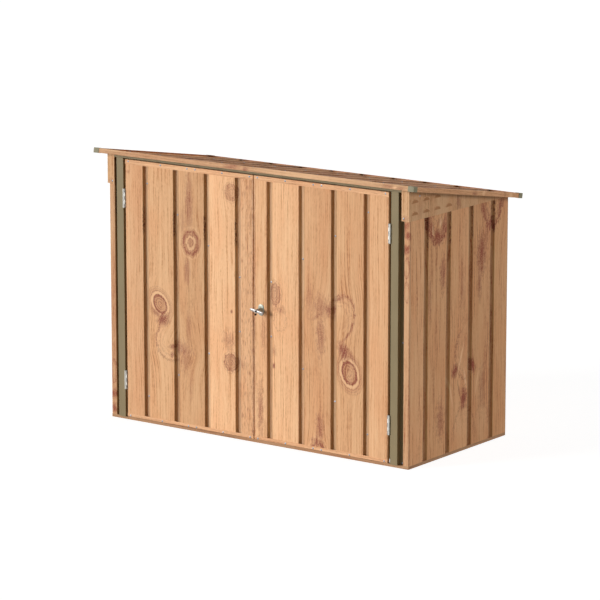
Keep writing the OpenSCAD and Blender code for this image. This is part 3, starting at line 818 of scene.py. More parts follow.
# Marks of the side sheets: across is the distance behind the middle, along the height
SIDE_MARKS = marks(
    (LOOP, -195, 1300, 95, 180, 0, 1.1, 0.3, 0.6),
    (SMEAR, -192, 1146, 40, 36, 0, 1.3, 0.6),
    (SMEAR, -263, 1215, 28, 65, 22, 1.1, 0.7),
    (SMEAR, -145, 1185, 26, 55, -20, 1.1, 0.7),
    (GLOW, -238, 1180, 10, 40, 0, 1, 0.5),
    (GLOW, -170, 1215, 12, 30, 0, 1, 0.5),
    (SMEAR, -145, 950, 34, 120, 0, 0.9, 0.8),
    (LOOP, 300, 1300, 92, 175, 0, 1.1, 0.3, 0.7),
    (SMEAR, 296, 1141, 38, 34, 0, 1.5, 0.5),
    (SMEAR, 216, 1220, 28, 65, 24, 1, 0.7),
    (SMEAR, 374, 1220, 26, 65, -22, 1, 0.7),
    (SMEAR, 205, 1000, 52, 150, 0, 1.1, 0.8),
    (SMEAR, 190, 840, 22, 110, 0, 0.8, 0.7),
    (SMEAR, 250, 1100, 30, 110, -8, 0.6, 0.8),
    (SMEAR, -30, 430, 32, 50, -24, 1.4, 0.6, 0.7),
    (CURL, 60, 500, 85, 130, 188, 0.75, 0.3, 0, True),
    (CURL, 55, 60, 175, 100, 90, 0.5, 0.3, 0, True),
    (CURL, 215, 60, 150, 70, 90, 0.4, 0.3, 0, True),
    (GLOW, 20, 480, 9, 110, -20, 1, 0.3),
    (GLOW, 62, 375, 10, 70, 14, 1, 0.3),
    (GLOW, -70, 330, 8, 100, 16, 0.7, 0.3),
    (SMEAR, 52, 275, 40, 70, -12, 1.4, 0.7, 0.6),
    (SMEAR, 10, 320, 12, 70, 18, 0.7, 0.5),
    (SMEAR, 130, 430, 30, 55, 26, 1.3, 0.7, 0.8),
    (GLOW, 170, 330, 8, 100, -12, 0.6, 0.3),
    (SMEAR, -160, 200, 45, 130, 0, 0.8, 0.8),
    (SMEAR, 220, 300, 40, 160, 0, 0.6, 0.8),
    (SMEAR, -260, 850, 20, 200, 0, 0.5, 0.8),
    (SMEAR, 30, 850, 30, 180, 0, 0.45, 0.8),
    (SMEAR, -462, 1232, 30, 22, 30, 0.9, 0.9),
    (SMEAR, -450, 1186, 34, 24, -40, 1.2, 0.9),
    (SMEAR, -458, 1113, 32, 26, 40, 1.2, 0.9),
    (LOOP, -456, 1020, 16, 50, 0, 0.8, 0.4),
    (LOOP, -456, 900, 14, 50, 0, 0.6, 0.4),
)
LEFT_SIDE_MARKS = marks(
    (SMEAR, -456, 125, 30, 36, 30, 1.2, 0.8),
    (SMEAR, -452, 50, 30, 30, -35, 1.2, 0.8),
    (LOOP, -456, 250, 18, 60, 0, 0.7, 0.4),
    (SMEAR, -456, 760, 10, 300, 0, 0.35, 0.8),
    (RING, -190, 520, 50, 62, 0, 1, 0.24, 0.55),
    (SMEAR, -180, 760, 32, 160, 0, 0.7, 0.6),
    (EYE, 190, 930, 38, 56, 32, 1, 0.12, 0.8),
    (SMEAR, 215, 855, 34, 50, -38, 1.1, 0.35),
    (LOOP, 20, 1210, 90, 150, 0, 0.8, 0.4, 0.7),
    (ROUND, 380, 330, 42, 46, 0, 0.9, 0.3, 0.5),
    (DOT, 10, 410, 12, 16),
)
SIDE_TONES = ((-1.0, (0.74, 0.71, 0.69)), (-0.4365, (0.94, 0.86, 0.78)), (-0.2935, (0.86, 0.78, 0.69)),
              (-0.0935, (0.90, 0.81, 0.72)), (0.1065, (0.82, 0.73, 0.64)), (0.3065, (0.85, 0.76, 0.66)))

BACK_MARKS = marks(
    (RING, -610, 420, 46, 60, 0, 1, 0.18, 0.55),
    (SMEAR, -590, 660, 22, 160, 0, 0.7, 0.4),
    (EYE, -200, 780, 37, 57, 34, 1, 0.08, 0.8),
    (SMEAR, -170, 690, 26, 50, -30, 1, 0.3),
    (ROUND, 205, 990, 44, 42, 0, 0.8, 0.25, 0.5),
    (SMEAR, 415, 560, 28, 190, 0, 0.6, 0.5),
    (EYE, 600, 350, 35, 54, -30, 1, 0.08, 0.8),
    (SMEAR, 790, 900, 60, 90, 0, 0.7, 0.9, 0.6),
    (DOT, 40, 250, 14, 18),
)
BACK_TONES = tuple((edge, (tone, tone * 0.98, tone * 0.96)) for edge, tone in (
    (-1.0, 0.86), (-0.7, 0.88), (-0.5, 0.78), (-0.3, 1.0), (-0.1, 0.90), (0.1, 1.0), (0.3, 0.78), (0.5, 0.88),
    (0.7, 0.86)))

# Marks of the fascias: across is the height, along the distance from the middle
FASCIA_MARKS = marks(
    (SMEAR, 4, -110, 18, 55, 0, 0.85, 0.8),
    (SMEAR, -4, -20, 18, 24, 0, 1, 0.7),
    (SMEAR, 4, 860, 16, 45, 0, 0.6, 0.8),
    (SMEAR, -4, 930, 14, 30, 0, 0.55, 0.7),
    (GLOW, 0, 895, 10, 18, 0, 1, 0.6),
    (GLOW, 0, 330, 80, 300, 0, 0.45),
)

# Marks of the gable trims: across is the distance behind the middle, along the height
GABLE_MARKS = marks(
    (SMEAR, -12, 1293, 24, 45, 0, 0.75, 0.6),
    (SMEAR, -350, 1300, 30, 50, 0, 0.25, 0.6),
    (SMEAR, -470, 1270, 22, 22, 0, 0.6, 0.6),
    (SMEAR, 200, 1330, 26, 40, 0, 0.4, 0.6),
)

# Marks of the side trims: across is square to the slope, along the distance behind the middle
TRIM_MARKS = marks(
    (SMEAR, 0, -180, 30, 30, 0, 0.6, 0.7),
    (GLOW, 0, -95, 20, 18, 0, 1, 0.6),
    (GLOW, 0, 160, 20, 22, 0, 1, 0.6),
    (SMEAR, 0, 105, 30, 14, 0, 0.5, 0.6),
)


SIDE_GROOVES = GrooveShade(at=0.1065, blots_from=1.08, blots_to=1.5)


class Finish(Enum):
    """Named finishes of the store's pieces."""

    LEFT_DOOR = WoodPrint("left_door_print", tones=DOOR_TONES, marks=DOOR_MARKS, low=-0.02, high=0.9,
                          grooves=GrooveShade(), dash_edge=0.08, dashes=0.1)
    RIGHT_DOOR = WoodPrint("right_door_print", tones=RIGHT_DOOR_TONES, marks=RIGHT_DOOR_MARKS, low=-0.02,
                           high=0.9, shift=0.07, grooves=GrooveShade(), dashes=0.1)
    RIGHT_SIDE = WoodPrint("right_side_print", palette=SIDE_PINE, tones=SIDE_TONES, marks=SIDE_MARKS, shift=0.37,
                           dashes=0.04, grooves=SIDE_GROOVES)
    LEFT_SIDE = WoodPrint("left_side_print", palette=SIDE_PINE, tones=SIDE_TONES, marks=LEFT_SIDE_MARKS, shift=0.91,
                          dashes=0.08, grooves=SIDE_GROOVES)
    BACK = WoodPrint("back_print", tones=BACK_TONES, marks=BACK_MARKS, shift=0.83, grooves=GrooveShade())
    RAIL = WoodPrint("rail_print", palette=TRIM_PINE, shift=0.21)
    SILL = WoodPrint("sill_print", palette=TRIM_PINE, tones=((-1.0, (0.58, 0.57, 0.56)),), shift=0.43)
    TRIM = WoodPrint("trim_print", palette=TRIM_PINE, tones=((-1.0, (0.92, 0.86, 0.80)),), marks=TRIM_MARKS, shift=0.71)
    # The back trims' tone of 0.42 is painted shade: it darkens their lip, seen over the roof, as if in shade
    BACK_TRIM = WoodPrint("back_trim_painted_shade", palette=TRIM_PINE, tones=((-1.0, (0.42, 0.40, 0.38)),), shift=0.29)
    FASCIA = WoodPrint("fascia_print", palette=TRIM_PINE, tones=((-1.0, (0.80, 0.81, 0.79)),), marks=FASCIA_MARKS,
                       shift=0.55)
    # The gable trims' tone of 0.80 is painted shade under the roof's overhang; the louvre hoods share it
    GABLE = WoodPrint("gable_print_painted_shade", tones=((-1.0, (0.80, 0.80, 0.78)),), marks=GABLE_MARKS, shift=1.31, dashes=0.0)
    # The roof's ribs get painted shade as well: their flanks are darkened to 0.46 of the print
    ROOF = WoodPrint("roof_print", palette=ROOF_PINE, shift=0.11,
                     grooves=GrooveShade(at=0.0, blots_from=2.0, blots_to=2.1, floor=(0.96, 0.93, 0.9),
                                     flank=(0.46, 0.4, 0.34)))
    OLIVE = Paint("grey_green_paint", linear(139, 121, 84), linear(132, 115, 79))
    BACK_COAT = Paint("back_coat", linear(196, 190, 176), linear(184, 178, 164), 0.55)
    CAP = Paint("cap_plastic", linear(138, 130, 98), linear(128, 121, 91), 0.55)
    BRIGHT = Metal("plated_steel", linear(214, 212, 206), linear(178, 176, 170), 0.34)
    CAST = Metal("cast_zinc", linear(178, 182, 168), linear(140, 142, 128), 0.42, metallic=0.45)
    POLISHED = Metal("polished_steel", linear(194, 187, 183), linear(140, 136, 131), 0.3, metallic=0.6)
    ZINC = Metal("galvanized_steel", linear(190, 190, 186), linear(160, 161, 160), 0.45, spangle=0.3)
    SCREW = Metal("screw_steel", linear(170, 176, 186), linear(120, 124, 132), 0.38, metallic=0.8)
    BLACK = Paint("keyhole_dark", linear(26, 20, 20), linear(14, 11, 12), 0.75, gloss=0.05)
    # Painted shade: the colour of the shaded inside of a louvre slot, laid on a flat strip
    SHADOW = Paint("louvre_opening_painted_shade", linear(198, 144, 102), linear(180, 130, 90), 0.8, gloss=0.05)


class Dresser:
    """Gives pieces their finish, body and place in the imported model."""

    EASE = 0.4 * MM
    EASE_ANGLE = 30.0
    WELD = 2e-6
    FLAT_ANGLE = 1.0
    SLOTS = {
        **dict.fromkeys(Finish, "wood_print"),
        **dict.fromkeys((Finish.OLIVE, Finish.CAP), "olive_paint"),
        **dict.fromkeys((Finish.BRIGHT, Finish.CAST, Finish.POLISHED), "hinge_steel"),
        **dict.fromkeys((Finish.ZINC, Finish.SCREW, Finish.BLACK), "zinc_steel"),
        Finish.ROOF: "roof_sheet",
    }

    def __init__(self) -> None:
        """Starts with no materials made."""
        self.made: dict[Finish, bpy.types.Material] = {}

    def material(self, finish: Finish) -> bpy.types.Material:
        """The finish's material, made once."""
        if finish not in self.made:
            self.made[finish] = finish.value.build()
        return self.made[finish]

    def dress(self, piece: bpy.types.Object, finish: Finish, body: str, *nodes: str,
              back: Finish | None = None) -> bpy.types.Object:
        """Finishes a piece.

        Args:
            piece: the new object.
            finish: its finish.
            body: the body that it moves with.
            nodes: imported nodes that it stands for.
            back: finish of the back of a sheet.

        Returns:
            The same object.
        """
        piece.data.materials.append(self.material(finish))
        if back:
            piece.data.materials.append(self.material(back))
        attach(piece, body)
        if nodes:
            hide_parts(*nodes)
        LOG.info("%s rides on %s, finish %s", piece.name, body, finish.name)
        return piece

    def eased(self, node: str, finish: Finish, body: str, grain: Direction = (1.0, 0.0, 0.0),
              across: Direction = (0.0, DEPTH_SHARE, 1.0), shift: float = 0.0) -> bpy.types.Object:
        """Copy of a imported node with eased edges.

        Its doubled corners are merged and its flat faces joined, and a narrow bevel eases every edge. A
        point's place on the print is its product with the direction across the grain, less the shift, and
        with the direction along it.

        Args:
            node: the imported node.
            finish: its finish.
            body: the body that it moves with.
            grain: direction along the grain.
            across: direction across it.
            shift: distance taken off the place across the grain.

        Returns:
            The new object.
        """
        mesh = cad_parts[node].data.copy()
        work = bmesh.new()
        work.from_mesh(mesh)
        bmesh.ops.remove_doubles(work, verts=work.verts, dist=self.WELD)
        flat = math.radians(self.FLAT_ANGLE)
        bmesh.ops.dissolve_limit(work, angle_limit=flat, verts=work.verts, edges=work.edges)
        work.to_mesh(mesh)
        work.free()
        while mesh.uv_layers:
            mesh.uv_layers.remove(mesh.uv_layers[0])
        layer = mesh.uv_layers.new(name=PRINT_MAP)
        spots = np.zeros(len(mesh.vertices) * 3, np.float32)
        mesh.vertices.foreach_get("co", spots)
        spots = spots.reshape(-1, 3)
        corners = np.zeros(len(mesh.loops), np.int32)
        mesh.loops.foreach_get("vertex_index", corners)
        places = np.stack([spots @ np.asarray(across) - shift, spots @ np.asarray(grain)], axis=1)
        layer.data.foreach_set("uv", places[corners].astype(np.float32).ravel())
        mesh.materials.clear()
        piece = finish_mesh(mesh, f"{node}_piece", self.EASE_ANGLE)
        bevel = piece.modifiers.new("eased_edges", "BEVEL")
        bevel.width = self.EASE
        bevel.segments = 2
        bevel.limit_method = "ANGLE"
        bevel.angle_limit = math.radians(self.EASE_ANGLE)
        bevel.harden_normals = True
        return self.dress(piece, finish, body, node)


# ---------------------------------------------------------------- the store


@dataclass
class SheetMetal:
    """Sizes that the folded sheets share."""

    thickness: float = 1.0 * MM
    bend: float = 3.0 * MM
    groove_width: float = 36.0 * MM
    groove_floor: float = 20.0 * MM
    groove_depth: float = 15.0 * MM
    pitch: float = 200.0 * MM

    def bends(self, centres: list[float], depth: float) -> list[Point]:
        """The four corners of each groove or rib, in order along the sheet."""
        wide, narrow = self.groove_width / 2, self.groove_floor / 2
        shape = np.array([[-wide, 0], [-narrow, depth], [narrow, depth], [wide, 0]])
        rows = shape[None] + np.array(centres)[:, None, None] * np.array([1, 0])
        return [tuple(row) for row in rows.reshape(-1, 2)]


@dataclass
class RoofPlane:
    """The tilted frame of the roof, worked out from the box of its right sheet."""

    pitch: float = math.radians(9.9)
    metal: SheetMetal = field(default_factory=SheetMetal)
    deck: float = -11.0 * MM
    rib: float = 21.0 * MM

    def __post_init__(self) -> None:
        """Origin: the sheet's front lower edge, moved back along the slope and square to it."""
        low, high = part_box("right_roof_sheet")
        t, cos, sin = self.metal.thickness, math.cos(self.pitch), math.sin(self.pitch)
        top = self.deck + self.rib + t
        self.y = low.y - t * cos - self.deck * sin
        self.z = high.z + t * sin - top * cos
        self.length = (high.y - self.y - top * sin) / cos + t

    def under(self, y: np.ndarray) -> np.ndarray:
        """Height of the underside of the roof sheets at y."""
        return self.z - (y - self.y) * math.tan(self.pitch) + (self.deck - 0.05 * MM) / math.cos(self.pitch)

    def place(self, x: np.ndarray, slope: np.ndarray, rise: np.ndarray) -> np.ndarray:
        """Points from a place across, down the slope and square to it."""
        cos, sin = math.cos(self.pitch), math.sin(self.pitch)
        x, slope, rise = np.broadcast_arrays(x, slope, rise)
        return np.stack([x, self.y + slope * cos + rise * sin, self.z - slope * sin + rise * cos], axis=-1)


@dataclass
class Shelter:
    """Walls, base rails, door frame, gable trims and roof."""

    dresser: Dresser
    metal: SheetMetal
    roof: RoofPlane
    body: str = "shelter"
    hem: float = 13.0 * MM
    front_fold: float = 33.0 * MM
    back_fold: float = 25.0 * MM

    def upright(self, path: np.ndarray, low: float, main: Point, anchor: float) -> Shape:
        """Folded sheet that stands from a level edge up to the underside of the roof.

        Args:
            path: outer face seen from above.
            low: height of the lower edge.
            main: direction of the face.
            anchor: place across the print at the start of the path.

        Returns:
            The shape.
        """
        outline = sheet_outline(path, self.metal.thickness)
        across = print_lengths(path, main) + anchor
        top = self.roof.under(outline[:, 1])
        heights = np.linspace(np.full_like(top, low), top, RINGS)
        rings = np.concatenate([np.repeat(outline[None], RINGS, 0), heights[..., None]], axis=-1)
        prints = np.stack([np.repeat(across[None], RINGS, 0), heights], axis=-1)
        return Shape.ribbon(rings, prints)

    def build_walls(self) -> None:
        """Side walls, folded round their front and back corners, and the back wall between them."""
        low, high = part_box("right_wall")
        metal, t = self.metal, self.metal.thickness
        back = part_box("back_wall")[1].y
        middle = (low.y + back) / 2
        grooves = metal.bends([(k + 0.5) * metal.pitch for k in range(-2, 2)], metal.groove_depth)
        corners = [(high.x - self.front_fold, low.y + self.hem), (high.x - self.front_fold, low.y), (high.x, low.y)]
        corners += [(high.x - depth, middle + place) for place, depth in grooves]
        corners += [(high.x, back - t), (high.x - self.back_fold, back - t)]
        path = rounded_path(corners, metal.bend)
        start = low.y - self.front_fold - self.hem
        for side, sign in SIDES:
            wall = self.upright(path, low.z, (0.0, 1.0), start).mirrored(sign < 0)
            finish = Finish.LEFT_SIDE if sign < 0 else Finish.RIGHT_SIDE
            self.dresser.dress(wall.to_object(f"{side}_wall_sheet"), finish, self.body, f"{side}_wall",
                               back=Finish.BACK_COAT)
        low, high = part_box("back_wall")
        centres = [(k + 0.5) * metal.pitch for k in range(-4, 4)]
        grooves = metal.bends(centres, metal.groove_depth)
        corners = [(low.x, high.y), *[(place, high.y - depth) for place, depth in grooves], (high.x, high.y)]
        path = rounded_path(corners, metal.bend)
        wall = self.upright(path[::-1], low.z, (1.0, 0.0), 0.0)
        wall.prints[:, 0] = high.x - wall.prints[:, 0]
        self.dresser.dress(wall.to_object("back_wall_sheet"), Finish.BACK, self.body, "back_wall",
                           back=Finish.BACK_COAT)

    def build_roof(self) -> None:
        """Two ribbed sheets, lapped beside the middle rib, the channels round them and the corner caps."""
        metal, roof, t = self.metal, self.roof, self.metal.thickness
        slopes = np.linspace(t, roof.length - t, RINGS)
        seam, lap = 0.5 * metal.pitch, 10.0 * MM
        for side in ("left", "right"):
            low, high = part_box(f"{side}_roof_sheet")
            ribs = [k * metal.pitch for k in range(-4, 5) if (k * metal.pitch < seam) == (side == "left")]
            corners = metal.bends(ribs, roof.rib)
            if side == "left":
                corners = [(low.x, 0.0), *corners, (high.x, 0.0)]
            else:
                end = seam + lap + t
                corners = [(low.x, t), (end, t), (end + 2 * t, 0.0), *corners, (high.x, 0.0)]
            path = rounded_path(corners, metal.bend) + np.array([0.0, roof.deck])
            outline = sheet_outline(path, t)
            across = print_lengths(path, (1.0, 0.0)) + low.x
            rings = roof.place(outline[None, :, 0], slopes[:, None], outline[None, :, 1])
            prints = np.stack(np.broadcast_arrays(across[None], slopes[:, None]), axis=-1)
            sheet = Shape.ribbon(rings, prints, inner_first=True)
            self.dresser.dress(sheet.to_object(f"{side}_roof_ribs"), Finish.ROOF, self.body, f"{side}_roof_sheet",
                               back=Finish.BACK_COAT)
        front = roof.z + DEPTH_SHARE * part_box("front_trim_left")[0].y
        sin, cos = math.sin(roof.pitch), math.cos(roof.pitch)
        for side, sign in SIDES:
            self.dresser.eased(f"front_trim_{side}", Finish.FASCIA, self.body, shift=front)
            self.dresser.eased(f"back_trim_{side}", Finish.BACK_TRIM, self.body)
            edge = max(abs(corner.x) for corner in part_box(f"side_trim_{side}"))
            self.dresser.eased(f"side_trim_{side}", Finish.TRIM, self.body, (0.0, cos, -sin),
                               (DEPTH_SHARE * sign, sin, cos), roof.z * cos + roof.y * sin + DEPTH_SHARE * edge)
        self.dresser.eased("roof_corner_caps", Finish.CAP, self.body)

    def build_frame(self) -> None:
        """Base rails, posts, header and the angles under the roof."""
        for node in ("sill_front", "sill_back"):
            self.dresser.eased(node, Finish.SILL, self.body)
        for node in ("sill_left", "sill_right"):
            self.dresser.eased(node, Finish.SILL, self.body, ALONG_Y, (DEPTH_SHARE, 0.0, 1.0))
        for node in ("left_post", "right_post", "header"):
            self.dresser.eased(node, Finish.OLIVE, self.body)
        for node in ("left_wall_plate", "right_wall_plate", "back_wall_plate"):
            self.dresser.eased(node, Finish.ZINC, self.body)
        for side, sign in SIDES:
            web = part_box(f"{side}_gable_trim")[1 if sign > 0 else 0].x * sign
            self.dresser.eased(f"{side}_gable_trim", Finish.GABLE, self.body, UPRIGHT, (sign, 1.0, 0.0), web)
            self.dresser.eased(f"{side}_frame_hinges", Finish.BRIGHT, self.body)


@dataclass
class Door:
    """One door, described as the right one; the left one is its mirror image."""

    dresser: Dresser
    metal: SheetMetal
    side: str
    turn_high: float = 1331.0 * MM
    turn_stretch: float = 1.352
    spindle_hole: float = 7.0 * MM
    hole_field: float = 20.0 * MM

    @property
    def body(self) -> str:
        """Name of the body that the door is."""
        return f"{self.side}_door"

    def build(self) -> None:
        """Grooved skin, rails, stiles, braces and hinge leaves."""
        self.build_skin()
        for part in ("top_rail", "bottom_rail"):
            self.dresser.eased(f"{self.side}_door_{part}", Finish.RAIL, self.body)
        for part in ("hinge_stile", "meeting_stile", "upper_brace", "lower_brace"):
            self.dresser.eased(f"{self.side}_door_{part}", Finish.OLIVE, self.body)
        self.dresser.eased(f"{self.side}_door_hinges", Finish.BRIGHT, self.body)

    def build_skin(self) -> None:
        """The sheet between the rails.

        The print is the same on both doors, but turned by half a turn and stretched on the right one. The
        right one has a hole for the lock's spindle, in a flat field of its own.
        """
        low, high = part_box(f"{self.side}_door_skin")
        mirror = self.side == "left"
        near, far = (-high.x, -low.x) if mirror else (low.x, high.x)
        metal = self.metal
        grooves = metal.bends([(k + 0.5) * metal.pitch for k in range(4)], metal.groove_depth)
        corners = [(near, high.y), (near, low.y)]
        corners += [(place, low.y + depth) for place, depth in grooves]
        corners += [(far, low.y), (far, high.y)]
        path = rounded_path(corners, metal.bend)
        heights = np.linspace(low.z, high.z, RINGS)
        lock = np.mean(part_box("lock_handle"), axis=0)
        if not mirror:
            field = np.array([-1.0, 1.0]) * self.hole_field
            heights = np.sort(np.append(heights, lock[2] + field))
            edges = np.stack([lock[0] + field, np.full(2, low.y)], axis=1)
            path = np.insert(path, np.searchsorted(path[:, 0], lock[0]), edges, axis=0)
        outline = sheet_outline(path, metal.thickness)
        across = print_lengths(path, (1.0, 0.0)) + near - (high.y - low.y)
        along = heights if mirror else (self.turn_high - heights) / self.turn_stretch
        flat = np.repeat(outline[None], len(heights), 0)
        rings = np.concatenate([flat, np.broadcast_to(heights[:, None, None], flat.shape[:2] + (1,))], axis=-1)
        prints = np.stack(np.broadcast_arrays(across[None], along[:, None]), axis=-1)
        skin = Shape.ribbon(rings, prints).mirrored(mirror)
        piece = skin.to_object(f"{self.side}_door_sheet")
        if not mirror:
            drill(piece, np.array([lock[0], low.y, lock[2]]), self.spindle_hole, metal.thickness * 4)
        finish = Finish.LEFT_DOOR if mirror else Finish.RIGHT_DOOR
        self.dresser.dress(piece, finish, self.body, f"{self.side}_door_skin", back=Finish.BACK_COAT)


@dataclass
class Lock:
    """Turning T-handle with its oval base, keyhole, and the cam behind the door."""

    dresser: Dresser
    tilt: float = math.radians(10.0)
    bar_length: float = 86.0 * MM
    bar_height: float = 15.5 * MM
    bar_depth: float = 12.0 * MM
    plate: float = 3.0 * MM
    boss: float = 20.0 * MM
    spindle: float = 6.0 * MM
    bore: float = 6.3 * MM
    gap: float = 0.5 * MM
    rim_segments: int = 64
    body: str = "handle"

    def __post_init__(self) -> None:
        """Axis and front of the handle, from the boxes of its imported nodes."""
        low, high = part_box("lock_handle")
        self.axis = np.array([(low.x + high.x) / 2, 0.0, (low.z + high.z) / 2])
        self.front, self.end = low.y, high.y
        low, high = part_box("lock_base")
        self.door = high.y
        self.base_half = ((high.x - low.x) / 2, (high.z - low.z) / 2)

    def turned(self, profile: list[Point], segments: int = 40) -> Shape:
        """Turned shape on the lock's axis, from radii and places along Y."""
        grid = lathe([(radius, -place) for radius, place in profile], segments)
        return Shape.shell(grid + self.axis)

    def fitted(self, profile: list[Point], segments: int) -> Shape:
        """Turned shape from radii and places behind the grip's front, in millimetres."""
        return self.turned([(radius * MM, self.front + place * MM) for radius, place in profile], segments)

    def build_base(self) -> None:
        """Domed oval plate with its boss, both bored for the spindle.

        The plate's outline is a circle's point moved up or down by the straight half length; its front
        rises as 1 - s^5 over the share s of the outline. The boss narrows towards the bar.
        """
        share = np.array([0.5, 0.8, 0.92, 0.98, 1.0, 1.0])[:, None]
        front = self.door - self.plate * np.array([1.0, 0.96, 0.84, 0.6, 0.25, 0.0])[:, None]
        a = np.linspace(0, 2 * np.pi, self.rim_segments, endpoint=False)[None]
        radius, straight = self.base_half[0], self.base_half[1] - self.base_half[0]
        x = share * radius * np.cos(a)
        z = share * (radius * np.sin(a) + straight * np.tanh(6 * np.sin(a)))
        grid = np.stack(np.broadcast_arrays(x, front, z), axis=-1)
        foot, tip = self.door - self.plate, self.door - self.plate - self.boss
        rim = lathe([(self.bore, -foot), (self.bore, -self.door)], self.rim_segments)
        plate = Shape.shell(np.concatenate([rim[:1], grid, rim[::-1]]) + self.axis)
        boss = self.turned([(self.bore, foot), (14.0 * MM, foot), (13.2 * MM, foot - 2 * MM),
                            (11.6 * MM, foot - 6 * MM), (10.4 * MM, tip + 3 * MM), (10.0 * MM, tip + 0.8 * MM),
                            (9.4 * MM, tip), (self.bore, tip), (self.bore, foot)])
        piece = plate.plus(boss).to_object("lock_base_casting")
        self.dresser.dress(piece, Finish.CAST, "right_door", "lock_base")

    def build_bar(self) -> None:
        """Tapered grip with its hub and spindle.

        Half height and half depth shrink from the middle as 1 - 0.1 |u|^1.6, and by 0.3 |u|^3 more towards the
        free tip, and a quarter of a circle closes the tips; the section is a superellipse with the power 4.
        """
        u = np.sin(np.linspace(-np.pi / 2, np.pi / 2, 33))
        half = self.bar_length / 2
        taper = 1 - np.array([0.10, 0.30]) @ np.stack([np.abs(u) ** 1.6, np.clip(-u, 0, 1) ** 3])
        round_off = np.sqrt(np.clip(1 - np.clip((np.abs(u) - 0.88) / 0.12, 0, 1) ** 2, 0, 1))
        size = (taper * round_off)[:, None]
        v = np.linspace(0, 2 * np.pi, 24, endpoint=False)[None]
        along = np.repeat(u[:, None] * half, v.shape[1], 1)
        up = size * superellipse(np.sin(v)) * self.bar_height / 2
        deep = size * superellipse(np.cos(v)) * self.bar_depth / 2
        x = along * math.cos(self.tilt) + up * math.sin(self.tilt)
        z = -along * math.sin(self.tilt) + up * math.cos(self.tilt)
        middle = self.front + self.bar_depth / 2
        grid = np.stack([x, middle + deep, z], axis=-1)
        bar = Shape.shell(grid + self.axis)
        stop = self.door - self.plate - self.boss - self.gap
        hub = self.turned([(0.0, middle), (8.0 * MM, middle), (10.6 * MM, middle + 3 * MM),
                           (11.0 * MM, middle + 6 * MM), (11.0 * MM, stop - 0.6 * MM), (10.4 * MM, stop), (0.0, stop)])
        root = stop - 1 * MM
        spindle = self.turned([(0.0, root), (self.spindle, root), (self.spindle, self.end), (0.0, self.end)])
        piece = bar.plus(hub).plus(spindle).to_object("lock_grip")
        self.dresser.dress(piece, Finish.POLISHED, self.body, "lock_handle")

    def build_keyhole(self) -> None:
        """Key cylinder in the grip's front, with its dark keyhole, and the swung-down dust cover below it."""
        rim = self.fitted([(0, 2), (7.6, 2), (7.6, 0.1), (7, -0.4), (6.2, 0.1), (0, 0.3)], 32)
        self.dresser.dress(rim.to_object("key_cylinder"), Finish.BRIGHT, self.body)
        slot = self.fitted([(0, 1), (6, 1), (6, -0.05), (5.4, -0.2), (0, -0.25)], 28)
        self.dresser.dress(slot.to_object("keyhole"), Finish.BLACK, self.body)
        drop = self.fitted([(0, 6), (5.8, 5.6), (6.4, 4), (6, 2.2), (0, 1.6)], 24)
        stem = self.fitted([(0, 5), (1.6, 5), (1.6, 3), (0, 3)], 12)
        cover = drop.copies([(-5.0 * MM, 0.0, -17.0 * MM)]).plus(stem.copies([(-3.0 * MM, 0.0, -9.8 * MM)]))
        self.dresser.dress(cover.to_object("keyhole_cover"), Finish.BLACK, self.body)

    def build(self) -> None:
        """Base on the right door, and grip, keyhole and cam on their own body."""
        self.build_base()
        self.build_bar()
        self.build_keyhole()
        self.dresser.eased("lock_cam", Finish.ZINC, self.body)


